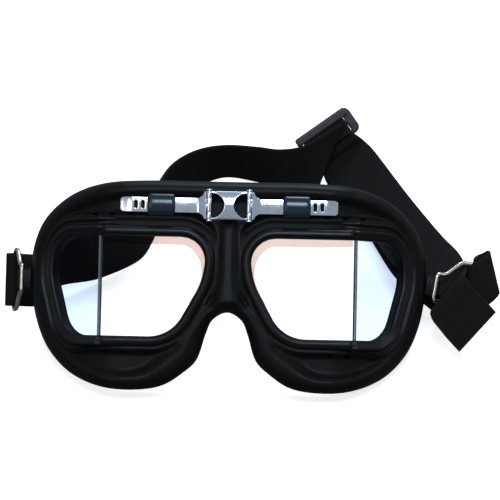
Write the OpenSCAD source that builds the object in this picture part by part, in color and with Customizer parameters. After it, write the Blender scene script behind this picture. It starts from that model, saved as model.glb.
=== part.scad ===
/* [Stance] */
// Backward lean of the lens plane as the goggles stand on a table, in degrees
lean = 38; // [34:1:42]

/* [Lens] */
// Height of each lens opening above the lens centre line
lens_top = 22.5; // [20:0.5:26]
// Depth of each lens opening below the lens centre line
lens_low = 22.2; // [19:0.5:24]
// Distance from the middle of the face to the nose side corner of a lens
nose_corner = 8.6; // [8:0.2:12]
// Distance from the middle to the upright split between front and side pane
split_x = 57.5; // [50:0.5:62]
// Angle by which the side pane bends back, in degrees
fold = 42; // [35:1:46]
// Length of the side pane opening, from the split to its outer end
side_reach = 30; // [24:0.5:33]
// Radius of the corner at the top of the nose side
top_r = 11; // [8:0.5:13]
// Radius of the corner at the bottom of the nose side
low_r = 17; // [12:0.5:19]
// Radius of the corners at the outer end of the side pane
side_r = 14; // [10:0.5:16]
// Thickness of the glass
glass_t = 2.2; // [1.5:0.1:2.6]
// Width of the seal that joins the two panes of an eye
seal_w = 0.8; // [0.5:0.1:1.2]

/* [Rim] */
// Width of the rim round each opening
rim_w = 5; // [4:0.1:5.2]
// How far the rim stands in front of the glass
rim_front = 2.6; // [2:0.1:3.4]
// How far the rim reaches behind the front of the glass
rim_back = 4; // [3.6:0.1:4.6]
// Width of the ledge that the glass seats on
ledge = 1.6; // [1.2:0.1:2]
// Height of the raised bead along the rim
bead_h = 1.3; // [0.8:0.1:2]
// Width of the raised bead along the rim
bead_w = 2.6; // [2:0.1:3]

/* [Mask] */
// Top edge of the face mask above the lens centre line
mask_top = 47.7; // [45:0.5:52]
// Bottom of the cheeks below the lens centre line
mask_low = 46.5; // [43:0.5:50]
// Half the width of the face mask
mask_half = 92; // [89:0.5:93]
// Height of the nose arch below the lens centre line
arch_z = 11; // [9:0.5:14]
// Half the width of the part of the mask between the rims
nose_half = 4.2; // [3.6:0.1:4.3]
// Thickness of the mask where it holds the rims
mask_t = 8; // [7:0.1:10]
// Radius at which the mask turns back to the temples
wrap_r = 30; // [24:1:36]
// Depth of the rolled edge, from its front to the face
roll_d = 18; // [15:0.5:22]
// Wall of the rolled edge
roll_t = 3.4; // [3:0.1:4.5]
// Diameter of a vent hole
vent_d = 1.6; // [1:0.1:2]
// Distance from one vent hole to the next
vent_pitch = 8; // [6:0.1:9]

/* [Bridge] */
// Height of the hinge above the lens centre line
hinge_z = 36.4; // [35.5:0.1:37.5]
// Distance from the middle to each hinge pin
pin_x = 8.9; // [8:0.1:10]
// How far the pins stand in front of the glass
pin_y = 5; // [4.8:0.1:5.6]
// Diameter of a hinge pin
pin_d = 1.6; // [1.2:0.1:1.8]
// Length of the hinge between the pin heads
hinge_h = 12.6; // [11:0.2:14]
// Thickness of the bridge metal
plate_t = 1; // [0.8:0.05:1.2]
// Height of a strip
strip_h = 6.8; // [6:0.1:7.6]
// Distance from the middle to the outer end of a strip
strip_end = 48.6; // [46:0.2:52]
// Distance between the two punched holes of a strip
hole_pitch = 3.1; // [2.6:0.1:3.4]
// Distance from the middle to the keeper loop
keeper_x = 24; // [23:0.2:25]
// Length of the keeper loop
keeper_l = 12.4; // [11:0.2:12.8]
// Running clearance of pins in their knuckles, on the radius
pin_gap = 0.05; // [0.03:0.01:0.08]
// Clearance between strip and keeper loop
slide_gap = 0.3; // [0.2:0.05:0.4]

/* [Strap] */
// Width of the webbing
strap_w = 25; // [20:1:27]
// Thickness of the webbing
strap_t = 1.5; // [1.2:0.1:1.8]
// Diameter of the buckle wire
wire_d = 2.1; // [1.8:0.1:2.4]
// Length of the narrow bar of a buckle
bar_h = 11.4; // [10:0.2:13]
// Distance from the narrow bar to the wide bar
buckle_l = 19.5; // [19:0.5:22]
// How far the narrow bars stand outside the mask
lug_out = 3.8; // [3.6:0.1:6]
// Height of the lugs above the lens centre line
lug_z = 3.4; // [0:0.2:8]
// Height of a lug, which fits inside the buckle
lug_h = 9; // [7:0.2:10]
// Length of the slider across the strap
slider_l = 31; // [30:0.5:36]
// Width of the slider along the strap
slider_w = 15; // [14:0.5:18]
// Thickness of the slider
slider_t = 2; // [1.6:0.1:2.6]

/* [Hidden] */
$fn = 48;
rubber = [0.10, 0.10, 0.11];
nickel = [0.78, 0.77, 0.75];
web = [0.08, 0.08, 0.09];
slack = 0.3;
far = 60;
roll_crest = 5.2;
roll_in = 9;
edge_y = 5;
steps = 96;
lug_x = mask_half + lug_out;
vent_z = rim_w + 4.4;

// Corner list of the front pane opening: across, up, corner radius
front_corners = [
    [nose_corner, lens_top, top_r],
    [nose_corner + 3.1, 2, 30],
    [nose_corner + 16.6, -lens_low, low_r],
    [split_x + far, -lens_low, 0],
    [split_x + far, lens_top, 0]
];
// Corner list of the side pane opening, measured along the pane from the split
side_corners = [
    [-far, lens_top, 0],
    [-far, -lens_low, 0],
    [side_reach - 9.5, -lens_low, side_r],
    [side_reach - 0.3, 3, 20],
    [side_reach, lens_top, side_r]
];

function unit(v) = v / norm(v);
function wrap(list, i) = list[(i + len(list)) % len(list)];
function flat(p) = [p[0], p[1]];
// Outward normal of the edge from a to b of an outline that runs anticlockwise
function edge_normal(a, b) = let (d = unit(b - a)) [d[1], -d[0]];
// Corner list grown outwards by g
function grown(list, g) = [for (i = [0 : len(list) - 1])
    let (
        p = flat(list[i]),
        n1 = edge_normal(flat(wrap(list, i - 1)), p),
        n2 = edge_normal(p, flat(wrap(list, i + 1))),
        q = p + g * (n1 + n2) / (1 + n1 * n2),
        r = list[i][2]
    ) [q[0], q[1], r > 0 ? max(0.1, r + g) : 0]];
// Points of one rounded corner
function corner(a, p, b, r) = r == 0 ? [p] :
    let (
        u = unit(a - p),
        v = unit(b - p),
        half = acos(u * v) / 2,
        centre = p + unit(u + v) * r / sin(half),
        start = p + u * r / tan(half) - centre,
        finish = p + v * r / tan(half) - centre,
        a0 = atan2(start[1], start[0]),
        turn = (atan2(finish[1], finish[0]) - a0 + 540) % 360 - 180
    ) [for (k = [0 : 6]) centre + r * [cos(a0 + turn * k / 6), sin(a0 + turn * k / 6)]];
function rounded(list) = [for (i = [0 : len(list) - 1])
    each corner(flat(wrap(list, i - 1)), flat(list[i]), flat(wrap(list, i + 1)), list[i][2])];

// Smooth closed curve through points
function curve_point(a, b, c, d, t) =
    0.5 * (2 * b + (c - a) * t + (2 * a - 5 * b + 4 * c - d) * t * t
    + (3 * b - a - 3 * c + d) * t * t * t);
function closed_curve(list, n) = [for (k = [0 : n - 1])
    let (s = k * len(list) / n, i = floor(s))
    curve_point(wrap(list, i - 1), list[i], wrap(list, i + 1), wrap(list, i + 2), s - i)];
function at(list, i) = list[max(0, min(len(list) - 1, i))];
function open_curve(list, n) = [for (k = [0 : n])
    let (s = k * (len(list) - 1) / n, i = min(floor(s), len(list) - 2))
    curve_point(at(list, i - 1), list[i], list[i + 1], at(list, i + 2), s - i)];

// Depth of the front of the mask at a distance from the middle
wrap_from = split_x - wrap_r * tan(fold / 2) - 2;
function front_y(x) = let (d = abs(x) - wrap_from)
    -2 + (d <= 0 ? 0
    : d < wrap_r * sin(fold) ? wrap_r - sqrt(wrap_r * wrap_r - d * d)
    : wrap_r * (1 - cos(fold)) + (d - wrap_r * sin(fold)) * tan(fold));

// Outer edge of the right half of the mask, from the top middle round to the nose arch
edge_right = [
    [14, mask_top], [36, mask_top], [mask_half - 36, mask_top - 1.4],
    [mask_half - 20, mask_top - 6], [mask_half - 8, mask_top - 15],
    [mask_half - 2, mask_top - 26], [mask_half, 8], [mask_half - 2, -10],
    [mask_half - 7.5, -25], [mask_half - 16, -mask_low + 11], [mask_half - 26, -mask_low + 4.6],
    [mask_half - 39, -mask_low + 0.8], [mask_half - 53, -mask_low + 0.4],
    [28, -mask_low + 2.6], [19, -mask_low + 8.4], [13, -arch_z - 21], [9.4, -arch_z - 10],
    [6.4, -arch_z - 3.4]
];
edge_left = [for (i = [len(edge_right) - 1 : -1 : 0]) [-edge_right[i][0], edge_right[i][1]]];
edge_points = concat(edge_right, [[0, -arch_z]], edge_left, [[0, mask_top]]);
edge_curve = closed_curve(edge_points, steps);
// Cross section of the rolled edge: how far in from the edge, and how far back
roll_profile = [
    [roll_in, -roll_crest + 1.4], [5, -roll_crest], [1.6, -roll_crest + 2.6], [0, 0],
    [0.8, roll_d - roll_crest - 5], [4, roll_d - roll_crest], [7.4, roll_d - roll_crest - 1.4],
    [0.8 + roll_t, roll_d - roll_crest - 6], [roll_t, 0], [roll_in, roll_t - roll_crest + 1.4]
];
function edge_inward(i) = let (d = unit(wrap(edge_curve, i + 1) - wrap(edge_curve, i - 1)))
    [d[1], -d[0]];
roll_points = [for (i = [0 : steps - 1]) let (p = edge_curve[i], n = edge_inward(i))
    for (q = roll_profile)
    [p[0] + n[0] * q[0], front_y(p[0]) + edge_y + q[1], p[1] + n[1] * q[0]]];
// Height of the lens centre that sets the lowest point of the mask on the table
eye_height = max([for (p = roll_points) p[1] * sin(lean) - p[2] * cos(lean)]);

// Places that set the part's origin at the middle of its footprint
place_x = 9.605;
place_y = 73.33;

// Depth of the lugs and the buckle angles, measured from straight back
lug_y = front_y(lug_x) - 3;
bar_gap = 0.1;

// A point of the goggles' own frame in the frame of the table
function stand(p) = [p[0], p[1] * cos(lean) + p[2] * sin(lean),
    eye_height - p[1] * sin(lean) + p[2] * cos(lean)];

module placed() {
    translate([-place_x, -place_y, 0]) children();
}
module worn() {
    placed() translate([0, 0, eye_height]) rotate([-lean, 0, 0]) children();
}
module half(side) {
    worn() mirror([side < 0 ? 1 : 0, 0, 0]) children();
}
module upright(y0, y1) {
    translate([0, y1, 0]) rotate([90, 0, 0]) linear_extrude(y1 - y0) children();
}

// Body with the outline of an eye, grown by g, from depth y0 to y1 of each pane
module front_part(g, y0, y1, gap = 0) {
    difference() {
        upright(y0, y1) polygon(rounded(grown(front_corners, g)));
        translate([split_x, 0, 0]) rotate([0, 0, fold / 2])
            translate([-gap, -far, -far]) cube([2 * far + far, 2 * far, 2 * far]);
    }
}
module side_part(g, y0, y1, gap = 0) {
    translate([split_x, 0, 0]) rotate([0, 0, fold]) difference() {
        upright(y0, y1) polygon(rounded(grown(side_corners, g)));
        rotate([0, 0, -fold / 2])
            translate([gap - 3 * far, -far, -far]) cube([3 * far, 2 * far, 2 * far]);
    }
}
module eye_body(g, y0, y1) {
    front_part(g, y0, y1, -0.02);
    side_part(g, y0, y1, -0.02);
}
module ring(g0, g1, y0, y1) {
    difference() {
        eye_body(g1, y0, y1);
        eye_body(g0, y0 - 1, y1 + 1);
    }
}

module rim(side) {
    color(rubber) half(side) difference() {
        union() {
            ring(0, rim_w, -rim_front, rim_back);
            ring(rim_w / 2 - bead_w / 2, rim_w / 2 + bead_w / 2, -rim_front - bead_h, -rim_front + 0.1);
        }
        eye_body(ledge, 0, rim_back + 1);
    }
}
module front_pane(side) {
    color("white", 0.3) half(side) front_part(ledge - 0.1, 0, glass_t, seal_w / 2);
}
module side_pane(side) {
    color("white", 0.3) half(side) side_part(ledge - 0.1, 0, glass_t, seal_w / 2);
}
// Seal between the panes: a bar bent like the panes that meet at it
module pane_seal(side) {
    out = seal_w / 2;
    rise = out * tan(fold / 2);
    back = glass_t / cos(fold / 2);
    color("gainsboro") half(side) translate([split_x, 0, -lens_low - ledge + 0.1])
        rotate([0, 0, fold / 2]) linear_extrude(lens_top + lens_low + 2 * (ledge - 0.1))
        polygon([[-out, rise], [0, 0], [out, rise], [out, rise + back], [0, back], [-out, rise + back]]);
}
module retainer_ring() {
    ring(0.1, ledge - 0.1, glass_t, rim_back - 0.2);
}
// Places of the screws that hold a retaining ring, along the front pane
screw_d = 1;
screw_spots = [for (x = [split_x - 24, split_x - 6]) for (z = [lens_top, -lens_low])
    [x, z + sign(z) * ledge / 2]];
module retainer(side) {
    color("dimgray") half(side) difference() {
        retainer_ring();
        for (p = screw_spots) translate([p[0], 0, p[1]]) rotate([-90, 0, 0])
            cylinder(d = screw_d, h = far);
    }
}
module retainer_screws(side) {
    color("silver") half(side) for (p = screw_spots) translate([p[0], glass_t, p[1]])
        rotate([-90, 0, 0]) cylinder(d = screw_d, h = rim_back - glass_t);
}

// The whole mask as one moulding, from which the three parts are cut
module mask_sheet() {
    intersection() {
        translate([0, 0, -far]) linear_extrude(2 * far) polygon(concat(
            [for (x = [-mask_half - 2 : 3 : mask_half + 2]) [x, front_y(x)]],
            [for (x = [mask_half + 2 : -3 : -mask_half - 2]) [x, front_y(x) + mask_t]]));
        upright(-far, far) polygon([for (i = [0 : steps - 1])
            edge_curve[i] + edge_inward(i) * (roll_in - 1.5)]);
    }
}
module mask_roll() {
    m = len(roll_profile);
    n = steps * m;
    polyhedron(points = roll_points, faces = [for (i = [0 : steps - 1]) for (j = [0 : m - 1])
        let (
            a = i * m + j,
            b = i * m + (j + 1) % m,
            c = (a + m) % n,
            d = (b + m) % n
        ) each [[a, b, d], [a, d, c]]]);
}
module mask_whole() {
    difference() {
        union() {
            mask_sheet();
            mask_roll();
        }
        for (s = [0, 1]) mirror([s, 0, 0]) {
            eye_body(1, -far, far / 2);
            eye_body(rim_w + 0.2, -far, rim_back + 0.1);
        }
    }
}
// Places of the vent holes, above and below the front pane
vent_spots = concat(
    [for (k = [0 : 4]) [keeper_x + 4 + k * vent_pitch, lens_top + vent_z]],
    [for (k = [0 : 1]) [keeper_x + 22 + k * vent_pitch, -lens_low - rim_w - 1.8]]
);
module mask_half_part(side) {
    color(rubber) half(side) difference() {
        mask_whole();
        translate([nose_half + slack - 4 * far, -far, -far]) cube([4 * far, 3 * far, 2 * far]);
        for (p = vent_spots) translate([p[0], 0, p[1]]) rotate([90, 0, 0])
            cylinder(d = vent_d, h = 2 * far, center = true);
    }
}
module mask_nose() {
    color(rubber) worn() {
        intersection() {
            mask_whole();
            translate([-nose_half, -far, -far]) cube([2 * nose_half, 3 * far, 2 * far]);
        }
        translate([0, -1.4, -arch_z + 5]) cylinder(r = nose_half - 1, h = lens_top + arch_z);
    }
}

// Bridge: hourglass plate, pins and strips
knuckle_r = pin_d / 2 + plate_t;
middle_h = hinge_h / 2;
end_h = (hinge_h - middle_h) / 2 - pin_gap;
cut_r = hinge_h / 2 - 1.1;
waist = 2.4;
module knuckle(h) {
    difference() {
        cylinder(r = knuckle_r, h = h);
        translate([0, 0, -1]) cylinder(d = pin_d, h = h + 2);
    }
}
module centre_plate() {
    color(nickel) worn() translate([0, -pin_y, hinge_z]) difference() {
        union() {
            difference() {
                translate([-pin_x, -plate_t / 2, -hinge_h / 2]) cube([2 * pin_x, plate_t, hinge_h]);
                for (s = [-1, 1]) translate([s * (waist + cut_r), 0, 0]) rotate([90, 0, 0])
                    cylinder(r = cut_r, h = 2 * far, center = true);
                for (s = [-1, 1]) translate([s * pin_x, 0, 0])
                    cube([2 * (pin_x - waist - cut_r), 2 * far, 2 * cut_r], center = true);
            }
            for (s = [-1, 1]) for (z = [-hinge_h / 2, hinge_h / 2 - end_h])
                translate([s * pin_x, 0, z]) cylinder(r = knuckle_r, h = end_h);
        }
        for (s = [-1, 1]) translate([s * pin_x, 0, -far]) cylinder(d = pin_d, h = 2 * far);
    }
}
module hinge_pins() {
    color(nickel) worn() for (s = [-1, 1]) translate([s * pin_x, -pin_y, hinge_z]) {
        cylinder(d = pin_d, h = hinge_h, center = true);
        for (e = [-1, 1]) translate([0, 0, e * (hinge_h / 2 + 0.4)])
            cylinder(d = pin_d + 1.4, h = 0.8, center = true);
    }
}
strip_y = -pin_y + 0.7;
strip_back = -2 - slack;
stud_d = 2.2;
stud_x = keeper_x + 4;
module bridge_strip(side) {
    color(nickel) half(side) translate([0, 0, hinge_z]) difference() {
        union() {
            translate([pin_x, -pin_y, -middle_h / 2]) cylinder(r = knuckle_r, h = middle_h);
            translate([0, strip_back, 0]) rotate([90, 0, 0]) linear_extrude(plate_t)
                polygon([[pin_x + knuckle_r + 0.4, -hinge_h / 2], [pin_x + knuckle_r + 2, -hinge_h / 2],
                    [pin_x + knuckle_r + 5, -strip_h / 2], [strip_end - 1.5, -strip_h / 2],
                    [strip_end, -strip_h / 2 + 1.5], [strip_end, strip_h / 2 - 1.5],
                    [strip_end - 1.5, strip_h / 2], [pin_x + knuckle_r + 5, strip_h / 2],
                    [pin_x + knuckle_r + 2, hinge_h / 2], [pin_x + knuckle_r + 0.4, hinge_h / 2]]);
            translate([pin_x, -pin_y, -middle_h / 2])
                cube([knuckle_r + 1.4, pin_y + strip_back, middle_h]);
        }
        translate([pin_x, -pin_y, -far]) cylinder(r = pin_d / 2 + pin_gap, h = 2 * far);
        for (k = [0, 1]) hull() for (z = [-1, 1])
            translate([keeper_x + keeper_l + 2 + k * hole_pitch, 0, z])
            rotate([90, 0, 0]) cylinder(d = 1.5, h = 2 * far, center = true);
        for (x = [stud_x, stud_x + hole_pitch]) translate([x, 0, 0])
            rotate([90, 0, 0]) cylinder(d = stud_d + 2 * slide_gap, h = 2 * far, center = true);
        translate([stud_x, -far, -stud_d / 2 - slide_gap])
            cube([hole_pitch, 2 * far, stud_d + 2 * slide_gap]);
    }
}
keeper_t = 1.6;
keeper_h = strip_h + 2 * slide_gap + 2 * keeper_t;
module keeper(side) {
    color(rubber) half(side) difference() {
        translate([keeper_x, strip_back - plate_t - slide_gap - keeper_t, hinge_z - keeper_h / 2])
            cube([keeper_l, plate_t + slack + slide_gap + keeper_t, keeper_h]);
        translate([keeper_x - 1, strip_back - plate_t - slide_gap, hinge_z - strip_h / 2 - slide_gap])
            cube([keeper_l + 2, far, strip_h + 2 * slide_gap]);
    }
}
module strip_stud(side) {
    color(rubber) half(side) translate([stud_x, -2, hinge_z]) rotate([90, 0, 0])
        cylinder(d = stud_d, h = plate_t + slack);
}

// Lugs, buckles and slider
// Turn of a lug and its buckle in the plane of the goggles, and swing from straight back
function twist(side) = side < 0 ? 0 : 9;
function swing(side) = side < 0 ? 17 : 65;
module at_lug(side) {
    half(side) translate([lug_x, lug_y, lug_z]) rotate([0, twist(side), 0]) children();
}
module lug(side) {
    color(rubber) at_lug(side) difference() {
        translate([0, 0, -lug_h / 2]) {
            cylinder(d = wire_d + 4, h = lug_h);
            rotate([0, 0, 180]) translate([0, -wire_d / 2 - 2, 0])
                cube([lug_out - slack, wire_d + 4, lug_h]);
        }
        translate([0, 0, -lug_h]) cylinder(r = wire_d / 2 + bar_gap, h = 2 * lug_h);
    }
}
wide_h = strap_w + 3.4;
// Corner list of the buckle wire: distance from the narrow bar, up, corner radius
wire_upper = [
    [0, bar_h / 2 + 0.6, 1.5], [4.5, bar_h / 2 + 0.6, 4],
    [buckle_l * 0.62, wide_h / 2 - 0.6, 4], [buckle_l, wide_h / 2, 2.4]
];
wire_lower = [for (i = [len(wire_upper) - 1 : -1 : 0])
    [wire_upper[i][0], -wire_upper[i][1], wire_upper[i][2]]];
wire_route = rounded(concat(wire_upper, wire_lower));
wire_sides = 20;
module buckle(side) {
    m = wire_sides;
    n = len(wire_route) * m;
    points = [for (i = [0 : len(wire_route) - 1])
        let (
            p = wire_route[i],
            n1 = edge_normal(wrap(wire_route, i - 1), p),
            n2 = edge_normal(p, wrap(wire_route, i + 1)),
            out = (n1 + n2) / (1 + n1 * n2) * wire_d / 2
        )
        for (k = [0 : m - 1])
        [p[0] + out[0] * cos(360 * k / m), wire_d / 2 * sin(360 * k / m),
            p[1] + out[1] * cos(360 * k / m)]];
    color(nickel) at_lug(side) rotate([0, 0, 90 - swing(side)])
        polyhedron(points = points, faces = [for (i = [0 : len(wire_route) - 1]) for (k = [0 : m - 1])
            let (
                a = i * m + k,
                b = i * m + (k + 1) % m,
                c = (a + m) % n,
                d = (b + m) % n
            ) each [[b, a, d], [d, a, c]]]);
}
// A point of a buckle, u from its narrow bar and v up along it, in the frame of the table
function buckle_point(side, u, v) = let (
        x = u * sin(swing(side)),
        t = twist(side)
    ) stand([side * (lug_x + x * cos(t) + v * sin(t)), lug_y + u * cos(swing(side)),
        lug_z - x * sin(t) + v * cos(t)]);

// Loop of webbing round a wide bar, sewn to itself: direction of the sewn part, and the
// room for the bar inside the loop
function loop_dir(side) = side < 0 ? 140 : 112;
function loop_room(side) = side < 0 ? 1.5 : 2.2;
// Where the loop bulges to, beyond the bar
function loop_tip(side) = side < 0 ? [-loop_room(side), 0] : [-3.2, -6];
sewn = 9;
loop_r = wire_d / 2 + 0.5;
module strap_end(side) {
    room = loop_room(side);
    spots = [[-room, 0], [room, 0], loop_tip(side)];
    color(web) at_lug(side) rotate([0, 0, 90 - swing(side)]) translate([buckle_l, 0, 0])
        rotate([0, 0, swing(side) - 90 + loop_dir(side)])
        translate([0, 0, -strap_w / 2]) linear_extrude(strap_w) difference() {
            union() {
                hull() for (p = spots) translate(p) circle(r = loop_r + strap_t);
                polygon([[0, loop_r + 0.9 * strap_t], [room, loop_r + 0.9 * strap_t],
                    [room + sewn, strap_t], [room + sewn, -strap_t],
                    [room, -loop_r - 0.9 * strap_t], [0, -loop_r - 0.9 * strap_t]]);
            }
            hull() for (p = spots) translate(p) circle(r = loop_r);
        }
}
// Direction of a loop's sewn part and of its width, in the goggles' own frame
function turned_y(v, t) = [v[0] * cos(t) + v[2] * sin(t), v[1], -v[0] * sin(t) + v[2] * cos(t)];
function turned_z(v, t) = [v[0] * cos(t) - v[1] * sin(t), v[0] * sin(t) + v[1] * cos(t), v[2]];
function loop_vector(side, v) = let (
        p = turned_y(turned_z(v, loop_dir(side)), twist(side))
    ) stand([side * p[0], p[1], p[2]]) - stand([0, 0, 0]);
function loop_frame(side, out) = let (
        c = buckle_point(side, buckle_l, 0) + loop_vector(side, [loop_room(side) + sewn + out, 0, 0])
    ) concat(c, loop_vector(side, [0, 0, 1]), [1]);

// Slider: long direction, short direction and facing, in the frame of the table
slider_at = [48.7, 165.3, 26.6];
slider_a = unit([0.81, 0.30, 0.51]);
slider_b = unit(cross(slider_a, [0, -0.82, 0.57]));
slider_n = cross(slider_b, slider_a);
slider_bar = 2;
slider_gap = (slider_w - 3 * slider_bar) / 2;
function on_slider(b, n, a = 0) = slider_at + slider_a * a + slider_b * b + slider_n * n;
function slider_way(a, b, n) = slider_a * a + slider_b * b + slider_n * n;
module slider_frame() {
    color([0.2, 0.2, 0.21]) placed() multmatrix([
        [slider_a[0], -slider_b[0], slider_n[0], slider_at[0]],
        [slider_a[1], -slider_b[1], slider_n[1], slider_at[1]],
        [slider_a[2], -slider_b[2], slider_n[2], slider_at[2]]
    ]) translate([0, 0, -slider_t / 2]) linear_extrude(slider_t) difference() {
        union() {
            square([slider_l, slider_w - 4], center = true);
            square([slider_l - 4, slider_w], center = true);
            for (x = [-1, 1]) for (y = [-1, 1])
                translate([x * (slider_l / 2 - 2), y * (slider_w / 2 - 2)]) circle(r = 2);
        }
        for (y = [-1, 1]) translate([0, y * (slider_bar + slider_gap) / 2])
            square([strap_w + 1.6, slider_gap], center = true);
    }
}

// Webbing: each frame holds the middle of the band, its width direction and a width factor
function across(v) = unit([v[3], v[4], v[5]]);
function mid(v) = [v[0], v[1], v[2]];
function band_points(path, t) = [for (i = [0 : len(path) - 1])
    let (
        c = mid(path[i]),
        w = across(path[i]),
        run = mid(at(path, i + 1)) - mid(at(path, i - 1)),
        n = unit(cross(run, w)) * t / 2,
        side = w * strap_w * path[i][6] / 2
    ) each [c - side - n, c + side - n, c + side + n, c - side + n]];
module band(frames, n) {
    path = open_curve(frames, n);
    points = band_points(path, strap_t);
    last = 4 * n;
    color(web) placed() polyhedron(points = points, faces = concat(
        [for (i = [0 : n - 1]) for (j = [0 : 3])
            let (a = 4 * i + j, b = 4 * i + (j + 1) % 4)
            each [[b, a, b + 4], [b + 4, a, a + 4]]],
        [[0, 1, 2], [0, 2, 3], [last + 2, last + 1, last], [last + 3, last + 2, last]]));
}
function frame(c, w, k = 1) = concat(c, unit(w), [k]);
function reversed(v) = [v[0], v[1], v[2], -v[3], -v[4], -v[5], v[6]];
// Where the free end passes through the right buckle, from corner to corner
pass_low = buckle_point(1, 4, -bar_h / 2 + 1.5);
pass_high = buckle_point(1, buckle_l - 5, wide_h / 2 - 2.2);
pass_mid = (pass_low + pass_high) / 2;
pass_across = unit(pass_high - pass_low);

// The long strap from the left loop along the table
run_left = [
    loop_frame(-1, slack),
    [-83, 57.4, 18.2, 0, 0.36, 0.93, 1], [-64.2, 68.4, 14.6, 0, 0.15, 0.99, 1],
    [-46, 85.5, 12.9, 0, 0.03, 1, 1], [-40.2, 103, 12.53, 0, 0, 1, 1]
];
rear = [
    [-40.1, 103.4, 12.53, 0, 0, 1, 1], [-37.2, 119, 12.53, 0, 0, 1, 1],
    [-30.5, 138, 12.53, 0, 0, 1, 1], [-19, 152.6, 12.53, 0, 0, 1, 1],
    [-4.6, 159, 12.53, 0, -0.1, 1, 1], [12, 156, 12.6, 0, 0.1, 1, 1],
    [25, 151, 13.4, -0.05, 0.1, 1, 1],
    frame(on_slider(7, 7, -19), slider_way(0.5, -0.7, 0.5), 1.03),
    frame(on_slider(8.8, 8.2, -9.5), slider_way(0.72, -0.62, 0.2), 1.2),
    frame(on_slider(9.7, 7.2, -4.6), slider_way(0.82, -0.57, 0.05), 1.38),
    frame(on_slider(8.4, 5.4, -5), slider_way(0.95, -0.3, 0), 1.15),
    frame(on_slider(6.3, 4.8, -1.5), slider_a), frame(on_slider(3, 3), slider_a)
];
// The free end, from the turn round the slider's middle bar
tail = [
    frame(on_slider(2.7, 2.9), -slider_a), frame(on_slider(0.2, 2.2), -slider_a),
    frame(on_slider(-2.2, 1.6), -slider_a), frame(on_slider(-3, 0), -slider_a),
    frame(on_slider(-2.2, -1.6), -slider_a), frame(on_slider(0, -2.1), -slider_a),
    frame(on_slider(2.1, -1.6), -slider_a), frame(on_slider(4.5, 1.2), -slider_a),
    frame(on_slider(6.6, 2.3), -slider_a), frame(on_slider(10, 2.2, 0.5), -slider_a, 1.06),
    frame(on_slider(14, 0, 1), -slider_a, 1.12), frame([62.5, 150, 16.6], [-0.8, -0.25, -0.5], 1.16),
    frame([78.5, 114, 14.5], [-0.8, -0.3, -0.42], 1.08),
    frame([91.5, 78, 15.5], [-0.8, -0.3, -0.4], 1.05), frame([100, 55, 22], [-0.8, -0.4, -0.45]),
    frame(pass_mid, -pass_across, norm(pass_high - pass_low) / strap_w),
    frame(pass_mid + [0.6, -7.8, 0.1], [-0.7, -0.41, -0.58], 0.88),
    frame(pass_mid + [4.3, -13.2, -5], [-0.69, -0.41, -0.59], 0.94),
    frame(pass_mid + [10.7, -19.9, -13.6], [-0.66, -0.43, -0.61])
];
// The short strap, from the slider's outer bar to the right loop
short = [
    frame(on_slider(slider_w / 2 + slack, 0), -slider_a),
    frame(on_slider(slider_w / 2 + 1.6, -0.4), -slider_a),
    frame(on_slider(slider_w / 2 + 5, -4), -slider_a),
    frame([63, 145, 11.3], [-0.8, -0.25, -0.48]), frame([78, 114, 10.2], [-0.8, -0.3, -0.4]),
    frame([90, 76, 10.8], [-0.78, -0.3, -0.42]), frame([99, 58, 12.5], [-0.68, -0.42, -0.55]),
    reversed(loop_frame(1, slack + 9)), reversed(loop_frame(1, slack))
];
centre_plate();
hinge_pins();
mask_nose();
band(rear, 72);  // strap_rear
band(tail, 60);  // strap_tail
band(short, 48);  // strap_short
band(run_left, 30);  // strap_run_left
slider_frame();
bridge_strip(-1);  // bridge_strip_left
bridge_strip(1);  // bridge_strip_right
mask_half_part(-1);  // mask_left
mask_half_part(1);  // mask_right
rim(-1);  // rim_left
rim(1);  // rim_right
front_pane(-1);  // front_pane_left
front_pane(1);  // front_pane_right
side_pane(-1);  // side_pane_left
side_pane(1);  // side_pane_right
pane_seal(-1);  // pane_seal_left
pane_seal(1);  // pane_seal_right
retainer(-1);  // retainer_left
retainer(1);  // retainer_right
retainer_screws(-1);  // retainer_screws_left
retainer_screws(1);  // retainer_screws_right
keeper(-1);  // keeper_left
keeper(1);  // keeper_right
strip_stud(-1);  // strip_stud_left
strip_stud(1);  // strip_stud_right
lug(-1);  // lug_left
lug(1);  // lug_right
buckle(-1);  // buckle_left
buckle(1);  // buckle_right
strap_end(-1);  // strap_end_left
strap_end(1);  // strap_end_right
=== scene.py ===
"""Finished look of a pair of folding goggles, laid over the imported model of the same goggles."""
import logging
import math
from dataclasses import dataclass, field
from enum import Enum
from typing import Callable, Iterable, Sequence

import bpy
import numpy as np
from mathutils import Matrix, Vector
from mathutils.geometry import delaunay_2d_cdt


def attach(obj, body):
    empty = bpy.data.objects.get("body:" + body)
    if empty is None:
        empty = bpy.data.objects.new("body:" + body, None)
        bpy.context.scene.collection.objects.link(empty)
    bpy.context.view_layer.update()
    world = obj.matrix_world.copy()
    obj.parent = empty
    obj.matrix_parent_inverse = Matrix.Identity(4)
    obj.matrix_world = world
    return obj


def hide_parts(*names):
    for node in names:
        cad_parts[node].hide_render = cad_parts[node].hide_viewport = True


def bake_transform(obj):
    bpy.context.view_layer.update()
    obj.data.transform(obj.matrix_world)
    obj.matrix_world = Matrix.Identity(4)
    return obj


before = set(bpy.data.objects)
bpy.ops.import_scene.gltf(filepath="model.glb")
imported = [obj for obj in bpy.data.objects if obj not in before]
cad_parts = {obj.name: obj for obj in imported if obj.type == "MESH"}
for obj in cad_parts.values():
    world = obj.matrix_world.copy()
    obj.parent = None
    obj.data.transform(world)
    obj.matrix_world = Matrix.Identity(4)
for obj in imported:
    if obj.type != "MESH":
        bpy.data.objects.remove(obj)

Array = np.ndarray
Move = Callable[[Array], Array]
Triple = tuple[float, float, float]
Profile = tuple[tuple[float, float], ...]
Corners = tuple[float, Triple, tuple[float, float]]
Socket = bpy.types.NodeSocket
MM = 1000.0
TINY = 1e-12
log = logging.getLogger("goggles")


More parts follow.
